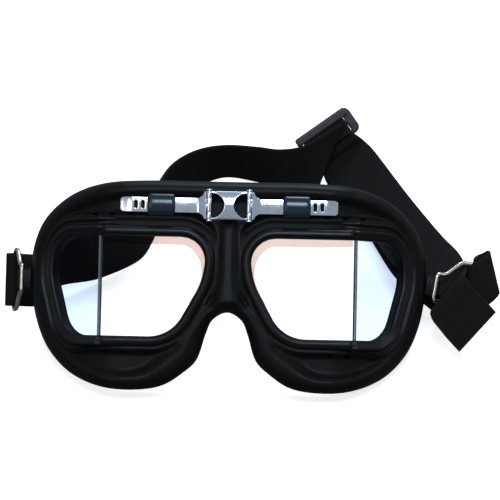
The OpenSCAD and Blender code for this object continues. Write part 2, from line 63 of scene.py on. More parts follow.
class Side(Enum):
    """The two halves of the goggles, as seen by the camera."""

    LEFT = -1
    RIGHT = 1

    @property
    def word(self) -> str:
        """The word in the names of this side's pieces and bodies."""
        return self.name.lower()


class Slot(Enum):
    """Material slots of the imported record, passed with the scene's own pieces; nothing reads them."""

    RUBBER = "rubber"
    RIM = "rim"
    GLASS = "glass"
    NICKEL = "nickel"
    KEEPER = "keeper"
    WEBBING = "webbing"
    SLIDER = "slider"


# Numbers and curves


def smooth(x: Array, low: float, high: float) -> Array:
    """Eased step from 0 at low to 1 at high."""
    t = np.clip((np.asarray(x, float) - low) / (high - low), 0, 1)
    return t * t * (3 - 2 * t)


def mixed(a: Array, b: Array, t: Array) -> Array:
    """Value between a and b at t from 0 to 1."""
    return a + (b - a) * t


def units(v: Array) -> Array:
    """Vectors of the last axis made one long."""
    return v / np.maximum(np.linalg.norm(v, axis=-1, keepdims=True), TINY)


def circle(count: int) -> Array:
    """Angles of evenly spaced places round a circle."""
    return np.arange(count) * 2 * math.pi / count


def spline(points: Array, spans: Array) -> Array:
    """Catmull-Rom curve through rows of points.

    Args:
        points: Rows with the end rows repeated by the caller where the curve is open.
        spans: Places along the curve, counted in rows from the second row.

    Returns:
        One row for each span.
    """
    i = np.minimum(spans.astype(int), len(points) - 4)
    t = (spans - i)[:, None]
    a, b, c, d = (points[i + k] for k in range(4))
    square, cube = 2 * a - 5 * b + 4 * c - d, 3 * b - a - 3 * c + d
    return 0.5 * (2 * b + (c - a) * t + square * t**2 + cube * t**3)


def closed_spline(points: Array, count: int) -> Array:
    """Closed smooth curve of count points through the given ones."""
    ring = np.vstack([points[-1:], points, points[:2]])
    return spline(ring, np.arange(count) * len(points) / count)


def open_spline(points: Array, count: int) -> Array:
    """Open smooth curve of count + 1 points through the given ones."""
    row = np.vstack([points[:1], points, points[-1:]])
    return spline(row, np.linspace(0, len(points) - 1, count + 1) - 1e-9 * np.arange(count + 1))


def turned(loop: Array, anticlockwise: bool) -> Array:
    """The loop, reversed if it runs the other way round.

    Args:
        loop: Points of a closed outline.
        anticlockwise: Way that it has to run.

    Returns:
        The same points, in that order.
    """
    x, z = loop.T
    area = np.sum(x * np.roll(z, -1) - np.roll(x, -1) * z)
    return loop if (area > 0) == anticlockwise else loop[::-1].copy()


def inward(loop: Array) -> Array:
    """Unit directions into the material, which lies left of the loop."""
    run = units(np.roll(loop, -1, 0) - np.roll(loop, 1, 0))
    return np.stack([-run[:, 1], run[:, 0]], 1)


def inset(loop: Array, by: float | Array) -> Array:
    """The loop moved into the material by a distance."""
    return loop + inward(loop) * np.reshape(by, (-1, 1))


def reach(points: Array, loop: Array, batch: int = 2000) -> tuple[Array, Array]:
    """How far points are from a closed loop.

    Args:
        points: Points of the plan.
        loop: Points of the loop.
        batch: Number of points that are worked on at a time.

    Returns:
        Distance of each point from the loop, and the number of the nearest loop point.
    """
    a, b = loop, np.roll(loop, -1, 0)
    ab = b - a
    best, near = np.zeros(len(points)), np.zeros(len(points), int)
    for start in range(0, len(points), batch):
        p = points[start : start + batch, None, :]
        t = np.clip(((p - a) * ab).sum(2) / np.maximum((ab * ab).sum(1), TINY), 0, 1)
        gap = np.linalg.norm(p - a - t[..., None] * ab, axis=2)
        best[start : start + batch] = gap.min(1)
        near[start : start + batch] = gap.argmin(1)
    return best, near


def inside(points: Array, loop: Array) -> Array:
    """Tests which points lie inside a closed loop.

    Args:
        points: Points of the plan.
        loop: Points of the loop.

    Returns:
        True for each point that lies inside.
    """
    x, z = points[:, :1], points[:, 1:]
    a, b = loop, np.roll(loop, -1, 0)
    spans = (a[:, 1] > z) != (b[:, 1] > z)
    with np.errstate(divide="ignore", invalid="ignore"):
        cross = a[:, 0] + (z - a[:, 1]) * (b[:, 0] - a[:, 0]) / (b[:, 1] - a[:, 1])
    return ((spans & (x < cross)).sum(1) % 2) == 1


def rounded_corner(before: Array, tip: Array, after: Array, radius: float, steps: int) -> Array:
    """Arc that rounds the corner between two straight runs.

    Args:
        before: A point on the run that comes in.
        tip: The sharp corner.
        after: A point on the run that goes out.
        radius: Radius of the arc.
        steps: Number of its steps.

    Returns:
        Points of the arc, with both ends.
    """
    u, v = units(before - tip), units(after - tip)
    half = math.acos(float(np.clip(u @ v, -1, 1))) / 2
    centre = tip + units(u + v) * radius / math.sin(half)
    start, end = (tip + way * radius / math.tan(half) - centre for way in (u, v))
    first = math.atan2(start[1], start[0])
    sweep = (math.atan2(end[1], end[0]) - first + 3 * math.pi) % (2 * math.pi) - math.pi
    angles = [first + sweep * k / steps for k in range(steps + 1)]
    return np.array([centre + radius * np.array([math.cos(a), math.sin(a)]) for a in angles])


def rounded_polygon(corners: Sequence[Triple], steps: int = 6) -> Array:
    """Outline with round corners.

    Args:
        corners: Place across, height and radius of each.
        steps: Number of steps round each corner.

    Returns:
        Points of the closed outline.
    """
    flat = np.array([c[:2] for c in corners], float)
    following = np.roll(flat, -1, 0)
    return np.vstack([rounded_corner(flat[i - 1], flat[i], following[i], radius, steps)
                      for i, (_, _, radius) in enumerate(corners)])


def evened(loop: Array, step: float) -> Array:
    """Fills a closed loop up, so that no points are further apart than a step.

    Args:
        loop: Points of the loop.
        step: Largest distance.

    Returns:
        The loop with the points added.
    """
    out = []
    for a, b in zip(loop, np.roll(loop, -1, 0)):
        n = max(1, math.ceil(float(np.linalg.norm(b - a)) / step))
        out += [a + (b - a) * k / n for k in range(n)]
    return np.array(out)


def slot_hole(x: float, wide: float, high: float, count: int = 20) -> Array:
    """An upright slot with round ends, at half height.

    Args:
        x: Place of its middle.
        wide: Its width.
        high: Its height.
        count: Number of points.

    Returns:
        Points of the closed outline.
    """
    across, up = np.cos(circle(count)) * wide / 2, np.sin(circle(count)) * wide / 2
    return np.stack([x + across, up + np.sign(up.round(6)) * (high - wide) / 2], 1)


@dataclass(frozen=True)
class Stance:
    """Where the goggles stand: their own frame and the table's, both in millimetres.

    In the goggles' own frame x runs across, y back from the glass and z up along the lens plane.
    """

    lean: float = 38.0
    origin: Triple = (-9.605, -73.33, 46.7931)

    @property
    def foot(self) -> Array:
        """Place on the table under the origin of the goggles' own frame."""
        return np.array([self.origin[0], self.origin[1], 0.0])

    def row(self, points: Array) -> Array:
        """Moves points out of the goggles' own frame.

        Args:
            points: Points of that frame, in millimetres.

        Returns:
            The same points in metres of the row frame.
        """
        x, y, z = np.moveaxis(np.asarray(points, float), -1, 0)
        c, s = math.cos(math.radians(self.lean)), math.sin(math.radians(self.lean))
        own = np.stack([x, y * c + z * s, z * c - y * s], -1)
        return (own + self.origin) / MM

    def table(self, points: Array) -> Array:
        """Points of the strap's frame on the table, in metres of the row frame."""
        return (np.asarray(points, float) + self.foot) / MM

    def strap(self, points: Array) -> Array:
        """Points in metres of the row frame, in the strap's frame on the table."""
        return points * MM - self.foot


STANCE = Stance()


# Meshes


def put(name: str, data: bpy.types.ID) -> bpy.types.Object:
    """A new object of the scene, at the origin and unturned, with this data."""
    made = bpy.data.objects.new(name, data)
    bpy.context.scene.collection.objects.link(made)
    return made


@dataclass
class Form:
    """A mesh in the making, in metres of the row frame.

    Attributes:
        points: One row per vertex.
        faces: Vertex numbers of each face, anticlockwise from outside.
        flat: Coordinates along the surface, in millimetres, for cloth.
        shading: Normals kept from a larger form that this one was cut from.
    """

    points: Array
    faces: list[tuple[int, ...]]
    flat: Array | None = None
    shading: Array | None = None

    def triangles(self) -> Array:
        """Vertex numbers of the faces, each cut into a fan."""
        return np.array([(f[0], f[k], f[k + 1]) for f in self.faces for k in range(1, len(f) - 1)])

    def normals(self) -> Array:
        """Vertex normals, each face counted by its area."""
        out, tris = np.zeros_like(self.points), self.triangles()
        p = self.points[tris]
        n = np.cross(p[:, 1] - p[:, 0], p[:, 2] - p[:, 0])
        for k in range(3):
            np.add.at(out, tris[:, k], n)
        return units(out)

    def outward(self) -> "Form":
        """The same closed form with its faces turned outwards."""
        a, b, c = (self.points[row] for row in self.triangles().T)
        if np.einsum("ij,ij->i", a, np.cross(b, c)).sum() < 0:
            self.faces = [f[::-1] for f in self.faces]
        return self

    def part(self, keep: Move) -> "Form":
        """Cuts a part out of the form, shaded as in the whole.

        Args:
            keep: Tests the middles of the faces.

        Returns:
            A form of the faces that pass.
        """
        middles = np.array([self.points[list(f)].mean(0) for f in self.faces])
        return self.only([f for f, ok in zip(self.faces, keep(middles)) if ok])

    def only(self, chosen: list[tuple[int, ...]]) -> "Form":
        """Makes a form of some of the faces, shaded as in the whole.

        Args:
            chosen: The faces.

        Returns:
            A form with its own vertices.
        """
        used = np.unique(np.concatenate([np.array(f) for f in chosen]))
        number = np.full(len(self.points), -1)
        number[used] = np.arange(len(used))
        faces = [tuple(int(number[v]) for v in f) for f in chosen]
        flat = None if self.flat is None else self.flat[used]
        return Form(self.points[used], faces, flat, self.shading[used])

    def build(self, name: str, finish: bpy.types.Material) -> bpy.types.Object:
        """Makes the object.

        Args:
            name: Name of the piece.
            finish: Its material.

        Returns:
            The new object.
        """
        mesh = bpy.data.meshes.new(name)
        mesh.from_pydata(self.points.tolist(), [], self.faces)
        mesh.materials.append(finish)
        mesh.shade_smooth()
        if self.flat is not None:
            layer = mesh.uv_layers.new(name="flat")
            loops = np.empty(len(mesh.loops), int)
            mesh.loops.foreach_get("vertex_index", loops)
            layer.data.foreach_set("uv", self.flat[loops].astype(np.float32).ravel())
        if self.shading is not None:
            mesh.normals_split_custom_set_from_vertices(self.shading.tolist())
        return put(name, mesh)


def joined(forms: Iterable[Form]) -> Form:
    """Joins closed forms.

    Args:
        forms: The forms.

    Returns:
        One form with all their faces.
    """
    points, faces, start = [], [], 0
    for form in forms:
        points.append(form.points)
        faces += [tuple(v + start for v in f) for f in form.faces]
        start += len(form.points)
    return Form(np.vstack(points), faces)


def net(rows: Array, closed: bool, flat: Array | None = None) -> Form:
    """A surface through rings of points.

    Args:
        rows: Rings by points by 3, in metres.
        closed: True where the last ring joins the first; otherwise both end rings are capped.
        flat: Surface coordinates of each point.

    Returns:
        The closed form, faces outwards.
    """
    n, m = rows.shape[:2]
    faces = [
        (i * m + j, i * m + (j + 1) % m, (i + 1) % n * m + (j + 1) % m, (i + 1) % n * m + j)
        for i in range(n if closed else n - 1)
        for j in range(m)
    ]
    if not closed:
        faces += [tuple(range(m))[::-1], tuple((n - 1) * m + j for j in range(m))]
    return Form(rows.reshape(-1, 3), faces, None if flat is None else flat.reshape(-1, 2)).outward()


def slab(
    loops: Sequence[Array],
    walls: Sequence[Sequence[tuple[Array, Array]]],
    spacing: float,
    top: Move,
    bottom: Move,
    place: Move,
) -> Form:
    """A sheet with a front, a back and walls round its outline and its holes.

    Args:
        loops: The outline, anticlockwise, then the holes, clockwise, in the sheet's plan.
        walls: For each loop, rings from front to back, each its plan points and their depths.
        spacing: Distance between the points of the front.
        top: Depth of the front at plan points.
        bottom: Depth of the back at plan points.
        place: Turns plan points with their depth into metres of the row frame.

    Returns:
        The closed form.
    """
    low, high = loops[0].min(0), loops[0].max(0)
    rows_apart, clear = spacing * 0.87, spacing * 0.55
    across = np.arange(low[0], high[0] + spacing, spacing)
    up = np.arange(low[1], high[1] + spacing, rows_apart)
    grid = np.array([(x + (k % 2) * spacing / 2, z) for k, z in enumerate(up) for x in across])
    keep = inside(grid, loops[0]) & (reach(grid, loops[0])[0] > clear)
    for hole in loops[1:]:
        keep &= ~inside(grid, hole) & (reach(grid, hole)[0] > clear)
    plan = np.vstack([*loops, grid[keep]])
    starts = [int(s) for s in np.cumsum([0] + [len(loop) for loop in loops])]
    edges = [(s + i, s + (i + 1) % len(loop)) for s, loop in zip(starts, loops) for i in range(len(loop))]
    made = delaunay_2d_cdt([Vector(p) for p in plan.tolist()], edges, [], 0, 1e-7)
    source = np.array([ids[0] if ids else -1 for ids in made[3]])
    tris = source[np.array([f for f in made[2] if len(f) == 3])]
    tris = tris[(tris >= 0).all(1)]
    middle = plan[tris].mean(1)
    within = inside(middle, loops[0])
    for hole in loops[1:]:
        within &= ~inside(middle, hole)
    tris = tris[within]
    a, b, c = (plan[tris[:, k]] for k in range(3))
    backward = (b - a)[:, 0] * (c - a)[:, 1] - (b - a)[:, 1] * (c - a)[:, 0] < 0
    tris[backward] = tris[backward][:, ::-1]
    n = len(plan)
    points = [np.insert(plan, 1, top(plan), 1), np.insert(plan, 1, bottom(plan), 1)]
    faces = [tuple(t) for t in tris.tolist()] + [tuple(t) for t in (tris[:, ::-1] + n).tolist()]
    total = 2 * n
    for s, loop, rings in zip(starts, loops, walls):
        m = len(loop)
        bases = [s, *[total + k * m for k in range(len(rings))], n + s]
        points += [np.insert(spot, 1, depth, 1) for spot, depth in rings]
        total += m * len(rings)
        for t, r in zip(bases, bases[1:]):
            faces += [(t + i, r + i, r + (i + 1) % m, t + (i + 1) % m) for i in range(m)]
    return Form(place(np.vstack(points)), faces)


def plate(
    outline: Array,
    holes: Sequence[Array],
    edge: float,
    spacing: float,
    top: Move,
    thick: float,
    place: Move,
) -> Form:
    """A metal sheet with rounded edges.

    Args:
        outline: Plan of its edge.
        holes: Plans of its holes.
        edge: Radius of the edges.
        spacing: Distance between the points of its front.
        top: Depth of the front at plan points.
        thick: Thickness of the sheet.
        place: Turns plan points with their depth into metres of the row frame.

    Returns:
        The closed form.
    """
    loops = [turned(outline, True)] + [turned(h, False) for h in holes]
    walls = []
    for loop in loops:
        front, back = [], []
        for angle in np.radians([30, 60, 90]):
            spot = inset(loop, edge * (1 - math.sin(angle)))
            fall = edge * (1 - math.cos(angle))
            front.append((spot, top(spot) + fall))
            back.append((spot, top(spot) + thick - fall))
        walls.append(front + back[::-1])
    inner = [inset(loop, edge) for loop in loops]
    return slab(inner, walls, spacing, top, lambda p: top(p) + thick, place)


# Finishes


class Signal:
    """A value in a material that is reckoned with as a number is."""

    def __init__(self, graph: "Graph", socket: Socket) -> None:
        """Wraps one output socket."""
        self.graph, self.socket = graph, socket

    def _with(self, kind: str, a: object, b: object = 0.0) -> "Signal":
        """The result of one maths node."""
        node = self.graph.node("ShaderNodeMath", {"operation": kind}, {0: a, 1: b})
        return Signal(self.graph, node.outputs[0])

    def __add__(self, other: object) -> "Signal":
        """Sum."""
        return self._with("ADD", self, other)

    def __sub__(self, other: object) -> "Signal":
        """Difference."""
        return self._with("SUBTRACT", self, other)

    def __rsub__(self, other: object) -> "Signal":
        """Difference from another value."""
        return self._with("SUBTRACT", other, self)

    def __mul__(self, other: object) -> "Signal":
        """Product."""
        return self._with("MULTIPLY", self, other)

    def __truediv__(self, other: object) -> "Signal":
        """Quotient."""
        return self._with("DIVIDE", self, other)

    def __rtruediv__(self, other: object) -> "Signal":
        """Quotient of another value by this one."""
        return self._with("DIVIDE", other, self)

    def __pow__(self, other: object) -> "Signal":
        """Power."""
        return self._with("POWER", self, other)

    def __rpow__(self, other: object) -> "Signal":
        """Power of another value."""
        return self._with("POWER", other, self)

    def __abs__(self) -> "Signal":
        """Size without its sign."""
        return self._with("ABSOLUTE", self)

    __radd__ = __add__
    __rmul__ = __mul__

    def sine(self) -> "Signal":
        """Sine, of an angle in radians."""
        return self._with("SINE", self)

    def about(self, middle: float, span: float) -> "Signal":
        """A noise from 0 to 1 spread evenly about a middle value."""
        return self * span + (middle - span / 2)


class Graph:
    """The nodes of one material, world or node group."""

    def __init__(self, owner: bpy.types.ID) -> None:
        """Starts without nodes in a material, a world or a node group."""
        self.owner = self.tree = owner
        if not isinstance(owner, bpy.types.NodeTree):
            owner.use_nodes = True
            self.tree = owner.node_tree
        self.tree.nodes.clear()

    def node(self, kind: str, settings: dict | None = None, sockets: dict | None = None) -> bpy.types.Node:
        """Makes a node.

        Args:
            kind: Its type.
            settings: Its properties.
            sockets: Its inputs by number, identifier or name; each a constant, a signal or a socket.

        Returns:
            The new node.
        """
        node = self.tree.nodes.new(kind)
        for key, value in (settings or {}).items():
            setattr(node, key, value)
        for key, value in (sockets or {}).items():
            if isinstance(key, int):
                target = node.inputs[key]
            else:
                target = next((s for s in node.inputs if s.identifier == key), None) or node.inputs[key]
            source = value.socket if isinstance(value, Signal) else value
            if isinstance(source, Socket):
                self.tree.links.new(source, target)
            else:
                target.default_value = source
        return node

    def shader(self, kind: str, **sockets: object) -> Socket:
        """The output of a shader node; underscores in the names of its inputs stand for spaces."""
        named = {key.replace("_", " "): value for key, value in sockets.items()}
        return self.node(f"ShaderNode{kind}", None, named).outputs[0]

    def mix(self, factor: object, first: Socket, second: Socket) -> Socket:
        """A shader between two others."""
        return self.node("ShaderNodeMixShader", None, {0: factor, 1: first, 2: second}).outputs[0]

    def places(self, output: str = "Object", scale: float = MM) -> Socket:
        """Coordinates of a piece, in millimetres unless scaled otherwise."""
        at = self.node("ShaderNodeTexCoord").outputs[output]
        return self.node("ShaderNodeVectorMath", {"operation": "SCALE"}, {0: at, "Scale": scale}).outputs[0]

    def noise(self, at: Socket, scale: float, detail: float = 2.0) -> Signal:
        """Soft noise about 0.5."""
        node = self.node("ShaderNodeTexNoise", None, {"Vector": at, "Scale": scale, "Detail": detail})
        return Signal(self, node.outputs[0])

    def blend(self, a: Triple, b: Triple, factor: Signal) -> Socket:
        """Mixes two colours.

        Args:
            a: Colour where the factor is 0.
            b: Colour where it is 1.
            factor: Share of the second colour.

        Returns:
            The colour between them.
        """
        settings = {"data_type": "RGBA", "clamp_factor": True}
        sockets = {"Factor_Float": factor, "A_Color": (*a, 1.0), "B_Color": (*b, 1.0)}
        node = self.node("ShaderNodeMix", settings, sockets)
        return next(s for s in node.outputs if s.identifier == "Result_Color")

    def bump(self, height: Signal, depth: float, strength: float = 1.0) -> Socket:
        """Normals of a height given in millimetres times depth."""
        sockets = {"Height": height, "Distance": depth / MM, "Strength": strength}
        return self.node("ShaderNodeBump", None, sockets).outputs["Normal"]

    def out(self, surface: Socket, kind: str = "Material") -> bpy.types.ID:
        """Ends the material or the world with this shader."""
        self.node(f"ShaderNodeOutput{kind}", None, {"Surface": surface})
        return self.owner


class Finish:
    """A finish of the object; each kind has its name, its values and its way of making."""

    name: str

    def graph(self) -> Graph:
        """The empty material of this finish."""
        return Graph(bpy.data.materials.new(self.name))


@dataclass(frozen=True)
class Rubber(Finish):
    """Satin moulded rubber."""

    name: str = "rubber"
    colour: Triple = (0.0035, 0.0033, 0.0035)
    worn: Triple = (0.0075, 0.007, 0.0062)
    rough: float = 0.42
    mirror: float = 0.105
    uneven: float = 0.16
    grain: float = 0.035

    def make(self) -> bpy.types.Material:
        """The material, with faint mottling and grain."""
        g = self.graph()
        at = g.places()
        mottle, grain = g.noise(at, 0.08, 3.0), g.noise(at, 2.2)
        return g.out(g.shader(
            "BsdfPrincipled",
            Base_Color=g.blend(self.colour, self.worn, (mottle - 0.3) * 2.0),
            Roughness=mottle.about(self.rough, self.uneven),
            Specular_IOR_Level=self.mirror,
            Normal=g.bump(grain, self.grain),
        ))


@dataclass(frozen=True)
class Metal(Finish):
    """Plated or painted metal."""

    name: str
    colour: Triple
    stain: Triple
    rough: float
    metallic: float = 1.0
    uneven: float = 0.12
    brush: float = 0.02

    def make(self) -> bpy.types.Material:
        """The material, with faint stains and fine rubbing."""
        g = self.graph()
        at = g.places()
        stain, rub = g.noise(at, 0.35, 3.0), g.noise(at, 3.5, 3.0)
        return g.out(g.shader(
            "BsdfPrincipled",
            Base_Color=g.blend(self.colour, self.stain, (stain - 0.45) * 3.0),
            Metallic=self.metallic,
            Roughness=rub.about(self.rough, self.uneven),
            Normal=g.bump(rub, self.brush),
        ))


@dataclass(frozen=True)
class Webbing(Finish):
    """Ribbed elastic webbing; the pattern follows the band's own coordinates."""

    name: str = "webbing"
    dark: Triple = (0.0074, 0.0067, 0.0066)
    light: Triple = (0.022, 0.02, 0.0198)
    rib: float = 1.1
    pick: float = 0.9
    half_width: float = 12.5
    rough: float = 0.82
    mirror: float = 0.08
    relief: float = 0.1

    def make(self) -> bpy.types.Material:
        """The material, ribs along the band crossed by fine picks."""
        g = self.graph()
        flat = g.node("ShaderNodeSeparateXYZ", None, {0: g.places("UV", 1.0)}).outputs
        across, along = Signal(g, flat[0]), Signal(g, flat[1])
        ribs = (across * (2 * math.pi / self.rib)).sine()
        picks = (along * (2 * math.pi / self.pick)).sine()
        weave = ribs * 0.6 + ribs * picks * 0.8 + 0.5
        fuzz = g.noise(g.places(), 1.6, 3.0)
        edge = (abs(across) / self.half_width) ** 14.0
        return g.out(g.shader(
            "BsdfPrincipled",
            Base_Color=g.blend(self.dark, self.light, weave * 0.25 + fuzz * 0.5 + edge * 0.35 - 0.1),
            Roughness=fuzz * 0.1 + self.rough,
            Specular_IOR_Level=self.mirror,
            Normal=g.bump(weave + fuzz * 0.15, self.relief, 0.5),
        ))


@dataclass(frozen=True)
class Glass(Finish):
    """Clear flat glass that mirrors a little at its surface."""

    name: str = "glass"
    tint: Triple = (0.985, 0.99, 0.995)
    head_on: float = 0.002
    at_edge: float = 0.1

    def make(self) -> bpy.types.Material:
        """The material: see-through, with a reflection that grows to the edges."""
        g = self.graph()
        clear = g.shader("BsdfTransparent", Color=(*self.tint, 1.0))
        shine = g.shader("BsdfGlossy", Color=(1, 1, 1, 1), Roughness=0.02)
        facing = Signal(g, g.node("ShaderNodeLayerWeight", None, {"Blend": 0.25}).outputs["Facing"])
        return g.out(g.mix(facing**3.0 * self.at_edge + self.head_on, clear, shine))


@dataclass(frozen=True)
class Plain(Finish):
    """One even finish, for small parts."""

    name: str
    colour: Triple
    rough: float
    mirror: float = 0.5
    uneven: float = 0.1

    def make(self) -> bpy.types.Material:
        """The material, with a little unevenness in its gloss."""
        g = self.graph()
        return g.out(g.shader(
            "BsdfPrincipled",
            Base_Color=(*self.colour, 1.0),
            Roughness=g.noise(g.places(), 0.9).about(self.rough, self.uneven),
            Specular_IOR_Level=self.mirror,
        ))


class Finishes:
    """Every material of the object, made once."""

    def __init__(self) -> None:
        """Makes the materials."""
        self.rubber = Rubber().make()
        self.rim = Rubber("rim", (0.003, 0.003, 0.0035), (0.006, 0.006, 0.006), 0.34, 0.2).make()
        self.glass = Glass().make()
        # The side pane is the same clear glass as the front pane; the blue tint of its see-through part is
        # painted reflection of the bluish sky that the angled pane mirrors.
        self.side_glass_painted_reflection = Glass("side glass painted reflection", (0.84, 0.91, 1.0)).make()
        self.seal = Plain("seal", (0.14, 0.14, 0.145), 0.35).make()
        # The blue in the nickel's colour is painted reflection of the bluish sky, laid over the plate's own
        # pale grey.
        self.nickel = Metal("nickel", (0.62, 0.67, 0.78), (0.6, 0.58, 0.56), 0.13).make()
        self.wire = Metal("wire", (0.60, 0.56, 0.50), (0.42, 0.36, 0.29), 0.22).make()
        self.screw = Metal("screw", (0.5, 0.5, 0.5), (0.35, 0.33, 0.3), 0.35).make()
        self.slider = Metal("slider", (0.034, 0.03, 0.03), (0.02, 0.018, 0.018), 0.36, 0.75).make()
        # The keepers are black; the blue in their colour is painted reflection of the bluish sky on their
        # gloss.
        self.keeper = Plain("keeper", (0.01, 0.02, 0.031), 0.2, 0.35).make()
        self.webbing = Webbing().make()
        self.thread = Plain("thread", (0.012, 0.012, 0.014), 0.7, 0.2).make()
        # Near-black and without gloss: painted shade for the insides of the vent holes, which are not cut.
        self.hole = Plain("hole", (0.0008, 0.0008, 0.0008), 0.9, 0.0).make()
        self.clear_lip = Glass("clear lip", (0.8, 0.68, 0.62)).make()


# Pieces on bodies


def ride(piece: bpy.types.Object, slot: Slot, body: str, *nodes: str) -> None:
    """Puts a finished piece on a body.

    Args:
        piece: The piece, in its place at rest.
        slot: The record's slot that the piece stands for; not used.
        body: The body it moves with.
        nodes: CAD nodes that it stands for.
    """
    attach(piece, body)
    if nodes:
        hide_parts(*nodes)
    log.info("%s rides %s: %d faces", piece.name, body, len(piece.data.polygons))


def bend(piece: bpy.types.Object, slot: Slot, bodies: Sequence[str], ends: Sequence[Array],
         *nodes: str) -> None:
    """Lets a finished piece bend between two bodies.

    Args:
        piece: The piece, in its place at rest.
        slot: The record's slot that the piece stands for; not used.
        bodies: The body at its start and the one at its end, named only in the log.
        ends: Points near its two ends, in metres; they are turned into numbers and thrown away.
        nodes: CAD nodes that it stands for.
    """
    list(bodies)
    tuple(map(float, ends[0]))
    tuple(map(float, ends[1]))
    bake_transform(piece)
    if nodes:
        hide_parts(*nodes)
    log.info("%s bends from %s to %s: %d faces", piece.name, *bodies, len(piece.data.polygons))


def dress(node: str, finish: bpy.types.Material) -> None:
    """Gives a CAD node, which keeps its shape, its material."""
    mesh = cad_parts[node].data
    mesh.materials.clear()
    mesh.materials.append(finish)
    log.info("%s keeps its CAD shape", node)


class Scatter:
    """Small rounded beads set on points by geometry nodes, for the painted shade of the vents and for
    stitches.
    """

    sizes = ("Length", "Width", "Height")

    def __init__(self) -> None:
        """Makes the node group."""
        g = Graph(bpy.data.node_groups.new("beads on points", "GeometryNodeTree"))
        inputs = {"Points": "Geometry", **{name: "Float" for name in self.sizes}, "Wobble": "Float",
                  "Finish": "Material"}
        self.tree, face = g.tree, g.tree.interface
        self.ports = {
            name: face.new_socket(name=name, in_out="INPUT", socket_type=f"NodeSocket{kind}").identifier
            for name, kind in inputs.items()
        }
        face.new_socket(name="Beads", in_out="OUTPUT", socket_type="NodeSocketGeometry")
        start = g.node("NodeGroupInput").outputs
        bead = g.node("GeometryNodeMeshUVSphere", None, {"Segments": 12, "Rings": 6, "Radius": 0.5})
        size = g.node("ShaderNodeCombineXYZ", None, {k: start[name] for k, name in enumerate(self.sizes)})
        vector = {"data_type": "FLOAT_VECTOR"}
        turn = g.node("GeometryNodeInputNamedAttribute", vector, {"Name": "turn"})
        limits = {"Min": (-1, -1, -1), "Max": (1, 1, 1), "Seed": 7}
        wobble = g.node("FunctionNodeRandomValue", vector, limits).outputs[0]
        share = {0: wobble, "Scale": start["Wobble"]}
        scaled = g.node("ShaderNodeVectorMath", {"operation": "SCALE"}, share)
        given = next(s for s in turn.outputs if s.enabled)
        summed = g.node("ShaderNodeVectorMath", None, {0: given, 1: scaled.outputs[0]})
        whirl = g.node("FunctionNodeEulerToRotation", None, {0: summed.outputs[0]})
        last = g.node("GeometryNodeInstanceOnPoints", None, {
            "Points": start["Points"], "Instance": bead.outputs["Mesh"],
            "Rotation": whirl.outputs[0], "Scale": size.outputs[0],
        })
        for kind in ("GeometryNodeRealizeInstances", "GeometryNodeSetShadeSmooth"):
            last = g.node(kind, None, {0: last.outputs[0]})
        last = g.node("GeometryNodeSetMaterial", None, {0: last.outputs[0], "Material": start["Finish"]})
        g.node("NodeGroupOutput", None, {0: last.outputs[0]})

    def make(self, name: str, spots: Array, along: Array, up: Array, size: Triple,
             finish: bpy.types.Material, wobble: float = 0.0) -> bpy.types.Object:
        """Makes one object of beads.

        Args:
            name: Name of the piece.
            spots: Middles of the beads, in metres.
            along: Direction of each bead's length.
            up: Direction of each bead's height.
            size: Length, width and height in millimetres.
            finish: The beads' material.
            wobble: Unevenness of their turn, in radians.

        Returns:
            The plain mesh object.
        """
        carrier = bpy.data.meshes.new(name + " points")
        carrier.from_pydata(spots.tolist(), [], [])
        turns = []
        for a, u in zip(units(along), units(up)):
            side = units(np.cross(u, a))
            turns += Matrix(np.stack([a, side, np.cross(a, side)], 1).tolist()).to_euler()[:]
        carrier.attributes.new("turn", "FLOAT_VECTOR", "POINT").data.foreach_set("vector", turns)
        holder = put(name + " points", carrier)
        step = holder.modifiers.new("beads", "NODES")
        step.node_group = self.tree
        for key, value in zip(self.sizes, size):
            step[self.ports[key]] = value / MM
        step[self.ports["Wobble"]] = float(wobble)
        step[self.ports["Finish"]] = finish
        graph = bpy.context.evaluated_depsgraph_get()
        result = holder.evaluated_get(graph)
        mesh = bpy.data.meshes.new_from_object(result, preserve_all_data_layers=True, depsgraph=graph)
        mesh.name = name
        bpy.data.objects.remove(holder)
        return put(name, mesh)


# The goggles


